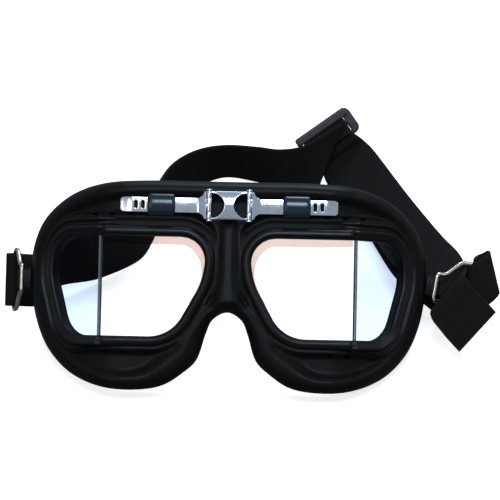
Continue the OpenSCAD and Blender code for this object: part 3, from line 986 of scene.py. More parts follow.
@dataclass
class Eye:
    """Outline of one eye: a flat front pane and a side pane folded back, in millimetres.

    Attributes:
        lens_top: Height of the glass over the middle line.
        lens_low: Its depth below the middle line.
        nose: Distance of the glass from the middle of the goggles, at its top.
        split: Distance of the line where the two panes meet.
        fold: Angle between the panes, in degrees.
        width: Width of the side pane.
        nose_corners: Radius of the corner at the top; way outwards, height and radius of the bend
            beside the nose; way outwards and radius of the corner below.
        side_corners: The same for the far edge of the side pane.
    """

    lens_top: float = 22.5
    lens_low: float = 22.2
    nose: float = 8.6
    split: float = 57.5
    fold: float = 42.0
    width: float = 30.0
    nose_corners: Corners = (11, (3.1, 2, 30), (16.6, 17))
    side_corners: Corners = (14, (-0.3, 3, 20), (-9.5, 14))

    def ring(self, grow: float, depth: float) -> tuple[Array, Array]:
        """Closed ring round the eye, always with the same number of points.

        Args:
            grow: Distance outside the glass opening.
            depth: Distance behind the front of the glass.

        Returns:
            Points in the goggles' own frame, and how far each is past the split.
        """
        set_back = depth * math.tan(math.radians(self.fold / 2))
        high, low = self.lens_top, -self.lens_low
        corners = self._corners(self.nose, self.nose_corners)
        front = self._path(corners, (self.split - set_back, high), (self.split - set_back, low), grow)
        corners = self._corners(self.width, self.side_corners)[::-1]
        side = self._path(corners, (set_back, low), (set_back, high), grow)
        c, s = math.cos(math.radians(self.fold)), math.sin(math.radians(self.fold))
        ahead = np.insert(front, 1, depth, 1)
        far = side[:, 0]
        beside = np.stack([self.split + far * c - depth * s, far * s + depth * c, side[:, 1]], 1)
        return np.vstack([ahead, beside]), np.concatenate([front[:, 0] - self.split, far])

    def _corners(self, edge: float, corners: Corners) -> list[Triple]:
        """Place, height and radius of the three corners at an edge of a pane, from the top."""
        top_r, (bend_x, bend_z, bend_r), (low_x, low_r) = corners
        bend_at, low_at = edge + bend_x, edge + low_x
        return [(edge, self.lens_top, top_r), (bend_at, bend_z, bend_r), (low_at, -self.lens_low, low_r)]

    def _path(self, corners: list[Triple], start: tuple[float, float], end: tuple[float, float],
              grow: float) -> Array:
        """Path round three corners.

        Args:
            corners: Place across, height and radius of each.
            start: Where the path starts.
            end: Where it ends.
            grow: Distance that it is moved outwards.

        Returns:
            Points of the path.
        """
        flat = np.array([start, *[c[:2] for c in corners], end], float)
        run = units(np.diff(flat, axis=0))
        normal = np.stack([run[:, 1], -run[:, 0]], 1)
        turn = run[0, 0] * run[1, 1] - run[0, 1] * run[1, 0]
        out = normal * (1 if turn > 0 else -1)
        moved = flat.copy()
        for i in range(1, 4):
            moved[i] += grow * (out[i - 1] + out[i]) / (1 + out[i - 1] @ out[i])
        moved[0] += grow * out[0]
        moved[4] += grow * out[3]
        long_steps, short_steps, arc_steps, closer = 26, 10, 12, 1.6
        eased = (np.arange(long_steps) / long_steps) ** closer
        rows, last = [], moved[0]
        for i, (_, _, radius) in enumerate(corners, 1):
            arc = rounded_corner(moved[i - 1], moved[i], moved[i + 1], max(radius + grow, 0.2), arc_steps)
            shares = eased if i == 1 else np.arange(short_steps) / short_steps
            rows += [mixed(last, arc[0], t) for t in shares]
            rows += list(arc[:-1])
            last = arc[-1]
        shares = 1 - (1 - np.arange(long_steps) / long_steps) ** closer
        return np.array(rows + [mixed(last, moved[4], t) for t in shares])


@dataclass
class Mask:
    """The moulded rubber mask, one skin over three bodies.

    Depths count backwards from the plain front, in millimetres.

    Attributes:
        half: Half its width; top and low are its height over and under the middle line.
        arch: Height of the nose arch below the middle line.
        wrap_radius: Radius of the bend beside the front panes.
        flat: Depth of the flat middle of the plain front, in the goggles' own frame.
        edge_depth: Depth at the outer edge of the roll; back_depth is that of the inner side.
        hole_depth: Depth of a ring half-way down the walls of the eye holes.
        crest: Depth on top of the roll; trough, panel and seat are those of the skin inside.
        under: Least depth of the skin under the strips; free is that elsewhere, where it never bites.
        pucker: Depth of the puckers beside the nose.
        seat_grow: Distance of the rims' seats outside the glass.
        roll: Width of the roll; nose_roll and arch_roll are what it gains and loses there.
        nose_crest: Depth on the nose ridge; nose_rise is its rise for each millimetre down.
        nose_fall: Depth of the hollows beside the ridge.
        nose_width: Half its width at the top; nose_flare is what it gains below.
        fold_from: Distance from the middle where the strip of skin between the nose piece and the half
            starts; fold_to where it ends.
        spacing: Distance between the points of the skin.
        roll_angles: Angles of the rings down the outside of the roll, in degrees.
        skirt: Distance in and depth of the rings behind the roll.
    """

    eye: Eye
    finishes: Finishes
    half: float = 92.0
    top: float = 47.7
    low: float = 46.5
    arch: float = 11.0
    wrap_radius: float = 30.0
    flat: float = -2.0
    edge_depth: float = 5.0
    back_depth: float = 6.5
    hole_depth: float = 1.0
    crest: float = -1.7
    trough: float = 1.5
    panel: float = -1.2
    seat: float = -0.4
    under: float = -1.9
    free: float = -9.0
    pucker: float = 0.4
    seat_grow: float = 2.6
    roll: float = 9.6
    nose_roll: float = 5.0
    arch_roll: float = 1.2
    nose_crest: float = -0.8
    nose_rise: float = 0.1
    nose_fall: float = 1.9
    nose_width: float = 3.4
    nose_flare: float = 1.6
    fold_from: float = 2.2
    fold_to: float = 6.4
    spacing: float = 0.95
    roll_angles: tuple[float, ...] = (12, 24, 36, 48, 60, 72, 82, 90)
    skirt: Profile = (
        (0.1, 2.5), (0.5, 6.0), (1.3, 9.4), (2.6, 11.8), (4.0, 12.8), (5.4, 12.6), (6.6, 11.6), (6.4, 8.5),
        (5.6, 5.5),
    )
    edge: Array = field(init=False)
    rolls: Array = field(init=False)
    holes: list[Array] = field(init=False)

    def __post_init__(self) -> None:
        """Lays out the edge, the width of the roll along it and the eye holes."""
        self.edge = self.outline()
        self.rolls = self.widths(self.edge)
        hole = self.eye.ring(self.seat_grow, 0.0)[0][:, [0, 2]]
        self.holes = [turned(hole, False), turned(hole * [-1, 1], False)]

    def front(self, x: Array) -> Array:
        """Works out the plain front, flat in the middle and folded back at the sides.

        Args:
            x: Places across.

        Returns:
            Depth at each.
        """
        fold = math.radians(self.eye.fold)
        d = np.abs(x) - (self.eye.split - self.wrap_radius * math.tan(fold / 2) + self.flat)
        bent = self.wrap_radius * math.sin(fold)
        arc = self.wrap_radius - np.sqrt(self.wrap_radius**2 - np.clip(d, 0, bent) ** 2)
        return self.flat + arc + np.clip(d - bent, 0, None) * math.tan(fold)

    def outline(self, count: int = 420) -> Array:
        """Lays out the edge of the mask.

        Args:
            count: Number of points.

        Returns:
            Points of the edge, anticlockwise.
        """
        h, t, b, a = self.half, self.top, self.low, self.arch
        right = [
            (14, t), (36, t), (h - 36, t - 1.4), (h - 20, t - 6), (h - 8, t - 15), (h - 2, t - 26), (h, 8),
            (h - 2, -10), (h - 7.5, -25), (h - 16, 11 - b), (h - 26, 4.6 - b), (h - 39, 0.8 - b),
            (h - 53, 0.4 - b), (28, 2.6 - b), (19, 8.4 - b), (13, -a - 21), (9.4, -a - 10), (6.4, -a - 3.4),
        ]
        left = [(-x, z) for x, z in right[::-1]]
        return turned(closed_spline(np.array([*right, (0, -a), *left, (0, t)], float), count), True)

    def widths(self, loop: Array) -> Array:
        """Works out the width of the roll, which is broad beside the nose.

        Args:
            loop: Points of the edge.

        Returns:
            Width at each.
        """
        x, z = np.abs(loop[:, 0]), loop[:, 1]
        nose = smooth(x, 44, 22) * smooth(z, -14, -26)
        arch = smooth(x, 14, 4) * smooth(z, 0, -8)
        return self.roll + self.nose_roll * nose - self.arch_roll * arch

    def skin(self, plan: Array) -> Array:
        """Works out the front: roll, hollow, seats of the rims, nose ridge and its puckers.

        Args:
            plan: Points of the plan.

        Returns:
            Depth at each.
        """
        x, z = plan.T
        out = np.abs(x)
        d, near = reach(plan, self.edge)
        half_roll = self.rolls[near] / 2
        s = np.clip((d - half_roll) / half_roll, 0, 1)
        depth = mixed(self.crest, self.trough, (1 - np.cos(math.pi * s)) / 2)
        gap = np.minimum(*[reach(plan, hole)[0] for hole in self.holes]) + self.seat_grow
        wide = 5.4 + 2.7 * np.maximum(smooth(z, 8, 24), 0.6 * smooth(out, 60, 72))
        depth = mixed(depth, self.panel, smooth(gap - wide, 3.2, 0.2))
        depth = mixed(depth, self.seat, smooth(gap - wide, 0.0, -0.8))
        calm = smooth(out, 8.0, 4.2) * smooth(z, 31, 26) * smooth(z, -13, -6)
        width = self.nose_width + self.nose_flare * smooth(z, 8, -9)
        hollow = self.nose_fall * (1 - np.exp(-((x / width) ** 4)))
        ridge = self.nose_crest - self.nose_rise * np.clip(28 - z, 0, 36) + hollow
        depth = mixed(depth, ridge, calm)
        line = 8.5 + 0.35 * (z + 6)
        depth += self.pucker * np.exp(-(((out - line) / 0.8) ** 2) - ((z + 6.5) / 3.2) ** 2)
        under = smooth(out, 50, 47) * smooth(z, 32.2, 33) * smooth(z, 41.4, 40.6)
        depth = np.maximum(depth, mixed(np.full_like(depth, self.free), self.under, under))
        return self.front(x) + depth

    def back(self, plan: Array) -> Array:
        """Depth of the back at plan points."""
        return self.front(plan[:, 0]) + self.back_depth

    def whole(self) -> Form:
        """The closed skin: front, rolled edge, back and the walls of the eye holes."""
        edge = self.edge
        rings = []
        for angle in np.radians(self.roll_angles):
            spot = inset(edge, self.rolls / 2 * (1 - math.sin(angle)))
            rise = self.crest + (self.edge_depth - self.crest) * (1 - math.cos(angle))
            rings.append((spot, self.front(spot[:, 0]) + rise))
        base = self.front(edge[:, 0]) + self.edge_depth
        rings += [(inset(edge, into), base + behind) for into, behind in self.skirt]
        walls = [rings, *[[(h, self.front(h[:, 0]) + self.hole_depth)] for h in self.holes]]
        loops = [inset(edge, self.rolls / 2), *self.holes]
        return slab(loops, walls, self.spacing, self.skin, self.back, STANCE.row).outward()

    def build(self) -> None:
        """Cuts the skin between its bodies and dresses it."""
        whole = self.whole()
        whole.shading = whole.normals()
        for side in Side:
            leaf, half = f"{side.word}_leaf", f"{side.word}_half"
            start, end = self.fold_from, self.fold_to
            strips = (
                ("nose", 0.0, start, ("bridge", leaf), (0.8, 1.5), ["mask_nose"]),
                ("fold", start, end, (leaf, half), (start + 0.7, end - 0.8), []),
                ("half", end, math.inf, (half,), (), [f"mask_{side.word}"]),
            )
            for name, first, last, bodies, ends, nodes in strips:
                strip = whole.part(lambda p: self.between(p, side, first, last))
                piece = strip.build(f"mask_{name}_{side.word}", self.finishes.rubber)
                if name == "half":
                    ride(piece, Slot.RUBBER, *bodies, *nodes)
                    continue
                places = [STANCE.row(np.array([side.value * x, 0.0, 20.0])) for x in ends]
                bend(piece, Slot.RUBBER, bodies, places, *nodes)

    @staticmethod
    def between(points: Array, side: Side, first: float, last: float) -> Array:
        """True for each point that is between two distances from the middle, on one side."""
        out = (points[:, 0] - STANCE.origin[0] / MM) * side.value * MM
        return (out >= first) & (out < last)


@dataclass
class Rims:
    """Moulded rims, the glass in them and the small parts that hold it.

    Attributes:
        front_profile: Distance outside the glass and depth round the rim of the front pane.
        side_profile: The same for the side pane.
        bead: Distance up to which the rim is the same all round; past it the lip is wider on top.
        strip_depth: Depth of the clear strip behind the glass; strip_reach is its widest reach.
        strip_thick: Thickness of the clear strip.
    """

    eye: Eye
    finishes: Finishes
    front_profile: Profile = (
        (0.4, 3.9), (0.1, 2.3), (0.0, 0.4), (0.0, -0.8), (0.1, -1.9), (0.35, -2.9), (0.8, -3.65),
        (1.4, -4.1), (2.1, -4.2), (2.9, -4.0), (3.6, -3.65), (4.2, -3.1), (4.6, -2.5), (4.95, -1.8),
        (5.4, -1.3), (5.9, -1.15), (6.4, -1.3), (6.8, -1.6), (7.2, -1.85), (7.6, -1.85), (7.9, -1.6),
        (8.05, -1.0), (7.9, 0.6), (6.5, 3.0), (2.4, 4.0),
    )
    side_profile: Profile = (
        (0.4, 3.9), (0.1, 2.3), (0.0, 0.4), (0.0, -0.4), (0.1, -0.8), (0.35, -1.2), (0.8, -1.5),
        (1.4, -1.6), (2.1, -1.9), (2.9, -2.4), (3.6, -2.6), (4.2, -2.4), (4.6, -1.9), (4.85, -1.4),
        (5.3, -1.1), (5.9, -1.2), (6.4, -1.6), (6.8, -2.1), (7.2, -2.4), (7.6, -2.35), (7.9, -1.9),
        (8.05, -1.2), (7.9, 0.6), (6.5, 3.0), (2.4, 4.0),
    )
    bead: float = 5.0
    strip_depth: float = 4.2
    strip_reach: float = 4.2
    strip_thick: float = 0.6

    def placed(self, grow: float, depth: float) -> tuple[Array, Array]:
        """One ring of the rim: its lip stands far out over the top and close in below.

        Args:
            grow: Distance outside the glass.
            depth: Distance behind the front of the glass.

        Returns:
            Points in the goggles' own frame, and how far each is past the split.
        """
        near, past = self.eye.ring(min(grow, self.bead), depth)
        far, _ = self.eye.ring(max(grow, self.bead), depth)
        share = 0.1 + 0.9 * np.maximum(smooth(near[:, 2], 8, 24), 0.6 * smooth(past, 4, 18))
        return (near if grow <= self.bead else mixed(near, far, share[:, None])), past

    def ring_rows(self) -> Array:
        """Rings of the rim from the glass round its front to its back."""
        rows = []
        for (g0, y0), (g1, y1) in zip(self.front_profile, self.side_profile):
            ahead, past = self.placed(g0, y0)
            beside, _ = self.placed(g1, y1)
            rows.append(mixed(ahead, beside, smooth(past, -2.2, -1.2)[:, None]))
        return np.array(rows)

    def lip(self, side: Side) -> None:
        """The clear reddish strip that shows behind the top of the glass."""
        outer, past = self.eye.ring(0.2, self.strip_depth)
        inner, _ = self.eye.ring(-self.strip_reach, self.strip_depth)
        keep = (past < -0.6) & (outer[:, 2] > -8)
        edge, far = outer[keep], inner[keep]
        x, z = edge[:, 0], edge[:, 2]
        wide = mixed(0.82, 0.7, smooth(x, 36, 57)) * mixed(0.15, 1.0, smooth(z, 2, 19)) + 0.01
        into = mixed(edge, far, wide[:, None])
        behind = np.array([0, self.strip_thick, 0])
        rows = np.stack([edge, into, into + behind, edge + behind], 1)
        form = net(STANCE.row(rows * [side.value, 1, 1]), False)
        ride(form.build(f"lens_lip_{side.word}", self.finishes.clear_lip), Slot.GLASS, f"{side.word}_half")

    def build(self) -> None:
        """Builds both rims and their strips, and dresses the glass and what holds it."""
        rows, f = self.ring_rows(), self.finishes
        dressed = {"front_pane": f.glass, "side_pane": f.side_glass_painted_reflection, "pane_seal": f.seal, "retainer": f.rim,
                   "retainer_screws": f.screw, "strip_stud": f.keeper}
        for side in Side:
            shell = net(STANCE.row(rows * [side.value, 1, 1]), True).build(f"rim_shell_{side.word}", f.rim)
            ride(shell, Slot.RIM, f"{side.word}_half", f"rim_{side.word}")
            for node, finish in dressed.items():
                dress(f"{node}_{side.word}", finish)
            self.lip(side)


@dataclass
class Bridge:
    """The nickel hinge between the halves with its plate, pins, strips and keepers.

    Attributes:
        z: Height of its middle line; pin_x and pin_y are the place of the pins.
        high: Height of the plate and the knuckles; thick is the sheet of plate and strips.
        knuckle: Wall of the knuckles round the pins, of diameter pin_d.
        head: What the heads of the pins stand out past them.
        waist: Half the plate's width at half its height; bite is the radius of its round cuts.
        lead: What the plate stands before the pins; bowed is what its middle stands further.
        strip_h: Height of the strips, which end at strip_end; strip_y is the place of their front.
        strip_rise: How far they rise to the pin; strip_bend is how far their ends are bent back.
        strip_round: How far their middle line stands before their sides.
        hole: Width and height of the punched holes, which stand a pitch apart.
        keeper_x: Where the keepers start; keeper_l is their length and keeper_h half their height.
        keeper_back: Depth of their back; keeper_rise is how far they stand before it.
        keeper_room: Half the height and the front of the opening in them.
    """

    finishes: Finishes
    z: float = 36.4
    pin_x: float = 8.9
    pin_y: float = -5.0
    pin_d: float = 1.6
    high: float = 12.6
    thick: float = 1.0
    knuckle: float = 0.45
    head: float = 0.75
    waist: float = 2.15
    bite: float = 5.5
    lead: float = 0.5
    bowed: float = 1.5
    strip_h: float = 6.8
    strip_end: float = 48.6
    strip_y: float = -3.3
    strip_rise: float = 2.75
    strip_bend: float = 1.25
    strip_round: float = 0.18
    hole: tuple[float, float] = (1.55, 3.5)
    pitch: float = 3.1
    keeper_x: float = 24.0
    keeper_l: float = 12.4
    keeper_h: float = 5.3
    keeper_back: float = -2.1
    keeper_rise: float = 3.9
    keeper_room: float = 3.65

    @property
    def barrel(self) -> float:
        """Outer radius of the knuckles."""
        return self.pin_d / 2 + self.knuckle

    def place(self, side: Side | None = None) -> Move:
        """The way from bridge points to metres, mirrored for the left side."""
        flip = side.value if side else 1
        return lambda p: STANCE.row((np.asarray(p, float) + [0, 0, self.z]) * [flip, 1, 1])

    def tube(self, low: float, high: float, radius: float, soft: float, side: Side) -> Form:
        """An upright round piece about a pin, with softened ends.

        Args:
            low: Height of its foot.
            high: Height of its top.
            radius: Its radius.
            soft: How much its ends are rounded.
            side: Side of the pin.

        Returns:
            The closed form.
        """
        angle = circle(28)
        ends = ((0.02, 0.0), (radius - soft, 0.0), (radius - soft * 0.3, soft * 0.3), (radius, soft))
        rings = [(r, low + up) for r, up in ends] + [(r, high - up) for r, up in ends[::-1]]
        round_pin = np.stack([np.cos(angle), np.sin(angle), 0 * angle], 1)
        rows = [round_pin * r + [self.pin_x, self.pin_y, z] for r, z in rings]
        return net(self.place(side)(np.array(rows)), False)

    def bow(self, plan: Array) -> Array:
        """Depth of the middle plate, bowed forward at half height and flat at its ends."""
        round_up = np.cos(plan[:, 1] / (self.high / 2) * math.pi / 2)
        return self.pin_y - self.lead - self.bowed * round_up * smooth(np.abs(plan[:, 0]), 9.0, 4.0)

    def centre(self) -> None:
        """The bowed hourglass plate with its end knuckles, and the two pins."""
        h, x, r, cut = self.high / 2, self.pin_x, self.pin_d / 2, self.bite
        angle = np.radians(np.linspace(-88, 88, 22))
        bite = np.stack([self.waist + cut - cut * np.cos(angle), cut * np.sin(angle)], 1)
        right = np.vstack([[(x, -h), (x, -cut + 0.1)], bite, [(x, cut - 0.1), (x, h)]])
        outline = evened(np.vstack([right, (right * [-1, 1])[::-1]]), 0.5)
        sheet = plate(outline, [], 0.22, 0.55, self.bow, self.thick, self.place())
        knuckles = [self.tube(low, high, self.barrel, 0.08, s)
                    for s in Side for low, high in ((-h, -h / 2 - 0.05), (h / 2 + 0.05, h))]
        form = joined([sheet, *knuckles])
        ride(form.build("hinge_plate", self.finishes.nickel), Slot.NICKEL, "bridge", "centre_plate")
        shaft, cap = (-h - 0.1, h + 0.1, r, 0.1), (h + 0.02, h + 0.95, r + self.head, 0.35)
        foot = (-cap[1], -cap[0], *cap[2:])
        pins = [self.tube(*piece, s) for s in Side for piece in (shaft, cap, foot)]
        ride(joined(pins).build("pins", self.finishes.nickel), Slot.NICKEL, "bridge", "hinge_pins")

    def strip_front(self, plan: Array) -> Array:
        """Depth of a strip's front.

        Args:
            plan: Points of the strip's plan.

        Returns:
            Depth at each: it rises to the pin, is bent back at its end and a little round across.
        """
        x, z = plan.T
        half = self.strip_h / 2
        rise = -self.strip_rise * smooth(x, 14.2, 9.2)
        back = self.strip_bend * smooth(x, 43.2, 49.4)
        round_across = self.strip_round * np.cos(z / half * math.pi / 2) * (np.abs(z) < half)
        return self.strip_y + rise + back - round_across

    def strip(self, side: Side) -> None:
        """One punched strip with its flare, its middle knuckle and the web that joins them."""
        h, s, end, place = self.high / 2, self.strip_h / 2, self.strip_end, self.place(side)
        x0 = self.pin_x + self.barrel
        flare = [(x0 + 0.12, h - 0.1, 0.3), (x0 + 1.0, h - 0.1, 0.4), (x0 + 1.7, s + 1.2, 1.2),
                 (x0 + 3.5, s, 0.8), (end, s, 1.6)]
        corners = [(x, -z, r) for x, z, r in flare] + flare[::-1]
        outline = evened(rounded_polygon(corners, 5), 0.7)
        first = self.keeper_x + self.keeper_l + 2
        holes = [slot_hole(first + k * self.pitch, *self.hole) for k in (0, 1)]
        strip = plate(outline, holes, 0.25, 0.6, self.strip_front, self.thick, place)
        knuckle = self.tube(-h / 2, h / 2, self.barrel, 0.08, side)
        low, high, deep = -h / 2 + 0.2, h / 2 - 0.2, 1.0
        fronts = ((0.4, -self.barrel + 0.08), (1.4, -0.72), (2.4, 0.02))
        rows = [[(x, y, low), (x, y, high), (x, y + deep, high), (x, y + deep, low)] for x, y in fronts]
        web = net(place(np.array(rows) + [self.pin_x, self.pin_y, 0]), False)
        form = joined([strip, knuckle, web])
        ride(form.build(f"punched_strip_{side.word}", self.finishes.nickel), Slot.NICKEL,
             f"{side.word}_leaf", f"bridge_strip_{side.word}")

    def keeper(self, side: Side) -> None:
        """The rounded loop that the strip slides through."""
        steps, room, back = 25, self.keeper_room, self.keeper_back
        angle = np.linspace(0, math.pi, steps)
        opening = [(back, -room), (-room, -room), (-room, room), (back, room)]
        rows = []
        for t in np.linspace(-1, 1, steps):
            ease = (1 - abs(t) ** 10) ** 0.5 * 0.35 + 0.65
            front = back - self.keeper_rise * ease * np.sin(angle) ** 0.8
            outer = np.stack([front, self.keeper_h * ease**0.3 * np.cos(angle)], 1)
            x = self.keeper_x + self.keeper_l / 2 * (1 + t)
            rows.append(np.insert(np.vstack([outer, opening]), 0, x, 1))
        form = net(self.place(side)(np.array(rows)), False)
        ride(form.build(f"strip_keeper_{side.word}", self.finishes.keeper), Slot.KEEPER,
             f"{side.word}_half", f"keeper_{side.word}")

    def build(self) -> None:
        """Builds the whole bridge."""
        self.centre()
        for side in Side:
            self.strip(side)
            self.keeper(side)


@dataclass(frozen=True)
class Band:
    """Webbing of one width and thickness, laid along a path."""

    width: float = 25.0
    thick: float = 1.5
    columns: int = 12

    @property
    def ring(self) -> Array:
        """Cross-section with rounded edges: place across and off the face, as shares of the half."""
        a = np.linspace(-0.965, 0.965, self.columns)
        edge = [(0.995, 0.6), (1.0, 0.0), (0.995, -0.6)]
        return np.array([*[(x, 1.0) for x in a], *edge, *[(x, -1.0) for x in a[::-1]],
                         *[(-x, -z) for x, z in edge]])

    def form(self, spots: Array, ways: Array, factors: Array, place: Move) -> Form:
        """The band along a path.

        Args:
            spots: Middles of the band, in millimetres.
            ways: Direction of the width at each.
            factors: Width at each, as a share of the full width.
            place: Turns the points into metres of the row frame.

        Returns:
            The closed form with its surface coordinates.
        """
        padded = np.vstack([spots[:1], spots, spots[-1:]])
        across = units(ways)
        normal = units(np.cross(padded[2:] - padded[:-2], across))
        side, face = self.ring.T
        wide = across[:, None] * (side[:, None] * self.width / 2) * factors[:, None, None]
        rows = spots[:, None] + wide + normal[:, None] * face[:, None] * self.thick / 2
        length = np.concatenate([[0], np.cumsum(np.linalg.norm(np.diff(spots, axis=0), axis=1))])
        flat = np.stack(np.broadcast_arrays(side[None] * self.width / 2, length[:, None]), -1)
        return net(place(rows), False, flat.copy())


@dataclass(frozen=True)
class Temple:
    """How the buckle and the loop lie on one side.

    Attributes:
        twist: Turn of the buckle about the front-to-back line, in degrees.
        swing: Swing of the buckle out from straight back, in degrees.
        heading: Direction of the loop's sewn part, in degrees.
        room: Distance from the wide bar to the sewn part.
    """

    twist: float
    swing: float
    heading: float
    room: float


@dataclass
class Lugs:
    """The lug at each temple, its wire buckle and the loop of webbing on it.

    Attributes:
        at: Place of the narrow bar on the right.
        wire_d: Diameter of the wire.
        bar_h: Height of the narrow bar; length is the way from it to the wide bar.
        spare: What the wide bar is longer than the strap is wide.
        lug_h: Height of the lug; mask_half is half the width of the mask that it stands on.
        sewn: Length of the sewn part.
        fold_shift: How far the fold of the right loop is moved; fold_turn is how far it is turned.
        stitch: Length, width and height of a stitch; stitch_pitch is the way from one to the next.
        temples: What differs between the sides.
    """

    finishes: Finishes
    beads: Scatter
    band: Band = Band()
    at: Triple = (95.8, 31.29, 3.4)
    wire_d: float = 2.1
    bar_h: float = 11.4
    length: float = 19.5
    spare: float = 3.4
    lug_h: float = 9.0
    mask_half: float = 92.0
    sewn: float = 9.0
    fold_shift: Triple = (0.0, 4.0, 13.0)
    fold_turn: Triple = (-0.45, 0.0, 0.0)
    stitch: Triple = (1.5, 0.55, 0.45)
    stitch_pitch: float = 1.9
    temples: dict[Side, Temple] = field(default_factory=lambda: {
        Side.LEFT: Temple(0.0, 17.0, 140.0, 1.5), Side.RIGHT: Temple(9.0, 65.0, 112.0, 2.2),
    })

    @property
    def wide(self) -> float:
        """Length of the wide bar."""
        return self.band.width + self.spare

    def place(self, side: Side) -> Move:
        """The way from points about a narrow bar to metres of the row frame."""
        t = math.radians(self.temples[side].twist)
        c, s = math.cos(t), math.sin(t)

        def move(p: Array) -> Array:
            """Turns and shifts the points."""
            x, y, z = np.moveaxis(np.asarray(p, float), -1, 0)
            across = side.value * (self.at[0] + x * c + z * s)
            return STANCE.row(np.stack([across, self.at[1] + y, self.at[2] - x * s + z * c], -1))

        return move

    def ways(self, side: Side, way: Array) -> Array:
        """A direction about a narrow bar, in metres of the row frame."""
        return self.place(side)(way) - self.place(side)(np.zeros(3))

    def buckle_spot(self, side: Side, u: float, v: float) -> Array:
        """A point u along the buckle and v up, about the narrow bar."""
        s = math.radians(self.temples[side].swing)
        return np.array([u * math.sin(s), u * math.cos(s), v])

    def wire(self, side: Side) -> None:
        """The wire buckle."""
        neck = self.bar_h / 2 + 0.6
        upper = [(0, neck, 1.8), (4.5, neck, 5), (self.length * 0.62, self.wide / 2 - 0.6, 5),
                 (self.length, self.wide / 2, 2.6)]
        lower = [(u, -v, r) for u, v, r in upper[::-1]]
        route = turned(evened(rounded_polygon(upper + lower, 10), 0.9), True)
        s, r, angle = math.radians(self.temples[side].swing), self.wire_d / 2, circle(16)
        rows = []
        for (u, v), n in zip(route, -inward(route)):
            uu, vv, off = u + n[0] * r * np.cos(angle), v + n[1] * r * np.cos(angle), r * np.sin(angle)
            across, back = uu * math.sin(s) + off * math.cos(s), uu * math.cos(s) - off * math.sin(s)
            rows.append(np.stack([across, back, vv], 1))
        form = net(self.place(side)(np.array(rows)), True)
        ride(form.build(f"wire_buckle_{side.word}", self.finishes.wire), Slot.NICKEL,
             f"{side.word}_buckle", f"buckle_{side.word}")

    def lug(self, side: Side) -> None:
        """The rubber lug that holds the narrow bar."""
        r = self.wire_d / 2 + 2
        root = self.mask_half + 0.3 - self.at[0] - 0.8
        corners = [(root, -0.3, 0.3), (r - 1.4, -0.3, 0.6), (r - 0.8, 1.6, 0.8), (r - 1.6, r, 1.0),
                   (root, r, 0.4)]
        loop = turned(evened(rounded_polygon(corners, 5), 0.7), True)
        layers = ((-1, 0.25), (-0.95, 0.1), (-0.9, 0), (0.9, 0), (0.95, 0.1), (1, 0.25))
        rows = [np.insert(inset(loop, into), 2, z * self.lug_h / 2, 1) for z, into in layers]
        form = net(self.place(side)(np.array(rows)), False)
        ride(form.build(f"strap_lug_{side.word}", self.finishes.rubber), Slot.RUBBER,
             f"{side.word}_half", f"lug_{side.word}")

    def loop_axes(self, side: Side) -> tuple[Array, Array, Array]:
        """Finds how the loop lies.

        Args:
            side: Its side.

        Returns:
            Middle of the wide bar, and the directions along the sewn part and off its face.
        """
        d = math.radians(self.temples[side].heading)
        along, off = np.array([math.cos(d), math.sin(d), 0]), np.array([-math.sin(d), math.cos(d), 0])
        return self.buckle_spot(side, self.length, 0), along, off

    def loop_path(self, side: Side) -> Array:
        """Path of the loop's middle.

        Args:
            side: Its side.

        Returns:
            Points along the sewn part and off its face, from the wide bar.
        """
        r = self.wire_d / 2 + 0.5 + self.band.thick / 2
        room, end = self.temples[side].room, self.temples[side].room + self.sewn
        path = [(end + 0.3, 0.0), (end - 1.2, 0.12), (end - 3.5, 0.62), (end - 6, 0.95),
                (room + 1.2, r * 0.8), (room, r)]
        if side is Side.RIGHT:
            path += [(-1.4, r * 0.75), (-4.2, -2.6), (-5.6, -5.6), (-5.1, -7.8), (-3.0, -8.2),
                     (-1.0, -7.0), (1.2, -4.2)]
        else:
            turn = np.radians(np.linspace(90, 270, 13))
            path += [(-room + r * math.cos(a), r * math.sin(a)) for a in turn]
        path += [(room, -r), (room + 1.2, -r * 0.85), (end - 6, -0.98), (end - 3.5, -0.92),
                 (end - 1.4, -1.15)]
        return open_spline(np.array(path), 90)

    def loop(self, side: Side) -> None:
        """Webbing folded round the wide bar and sewn to itself; the fold hangs on the right."""
        bar, along, off = self.loop_axes(side)
        fine = self.loop_path(side)
        spots = bar + fine[:, :1] * along + fine[:, 1:] * off
        widths, factors = np.tile([0.0, 0.0, 1.0], (len(spots), 1)), np.ones(len(spots))
        if side is Side.RIGHT:
            past = np.pad(smooth(fine[:, 1], 0.6, -7.6), 10, "edge")
            out = np.convolve(past, np.ones(21) / 21, "valid")
            spots = spots + out[:, None] * np.array(self.fold_shift)
            widths = units(widths + out[:, None] * np.array(self.fold_turn))
            factors = 1 - 0.18 * out
        form = self.band.form(spots, widths, factors, self.place(side))
        ride(form.build(f"sewn_loop_{side.word}", self.finishes.webbing), Slot.WEBBING,
             f"{side.word}_buckle", f"strap_end_{side.word}")

    def stitches(self, side: Side) -> None:
        """Two rows of stitches through the sewn part."""
        bar, along, off = self.loop_axes(side)
        end = self.temples[side].room + self.sewn
        spots = np.array([bar + along * (end - before_end) + off * lift + [0, 0, v]
                          for before_end, lift in ((2.6, 1.3), (5.4, 1.55))
                          for v in np.arange(-10.6, 10.7, self.stitch_pitch)])
        up, faces = (np.tile(self.ways(side, way), (len(spots), 1)) for way in (np.array([0, 0, 1.0]), off))
        piece = self.beads.make(f"loop_stitches_{side.word}", self.place(side)(spots), up, faces,
                                self.stitch, self.finishes.thread, 0.08)
        ride(piece, Slot.WEBBING, f"{side.word}_buckle")

    def loop_frame(self, side: Side, out: float) -> list[float]:
        """A strap frame on from a loop's sewn end: place, width direction and width factor."""
        bar, along, _ = self.loop_axes(side)
        spot = self.place(side)(bar + along * (self.temples[side].room + self.sewn + out))
        return [*STANCE.strap(spot), *self.ways(side, np.array([0, 0, 1.0])) * MM, 1.0]

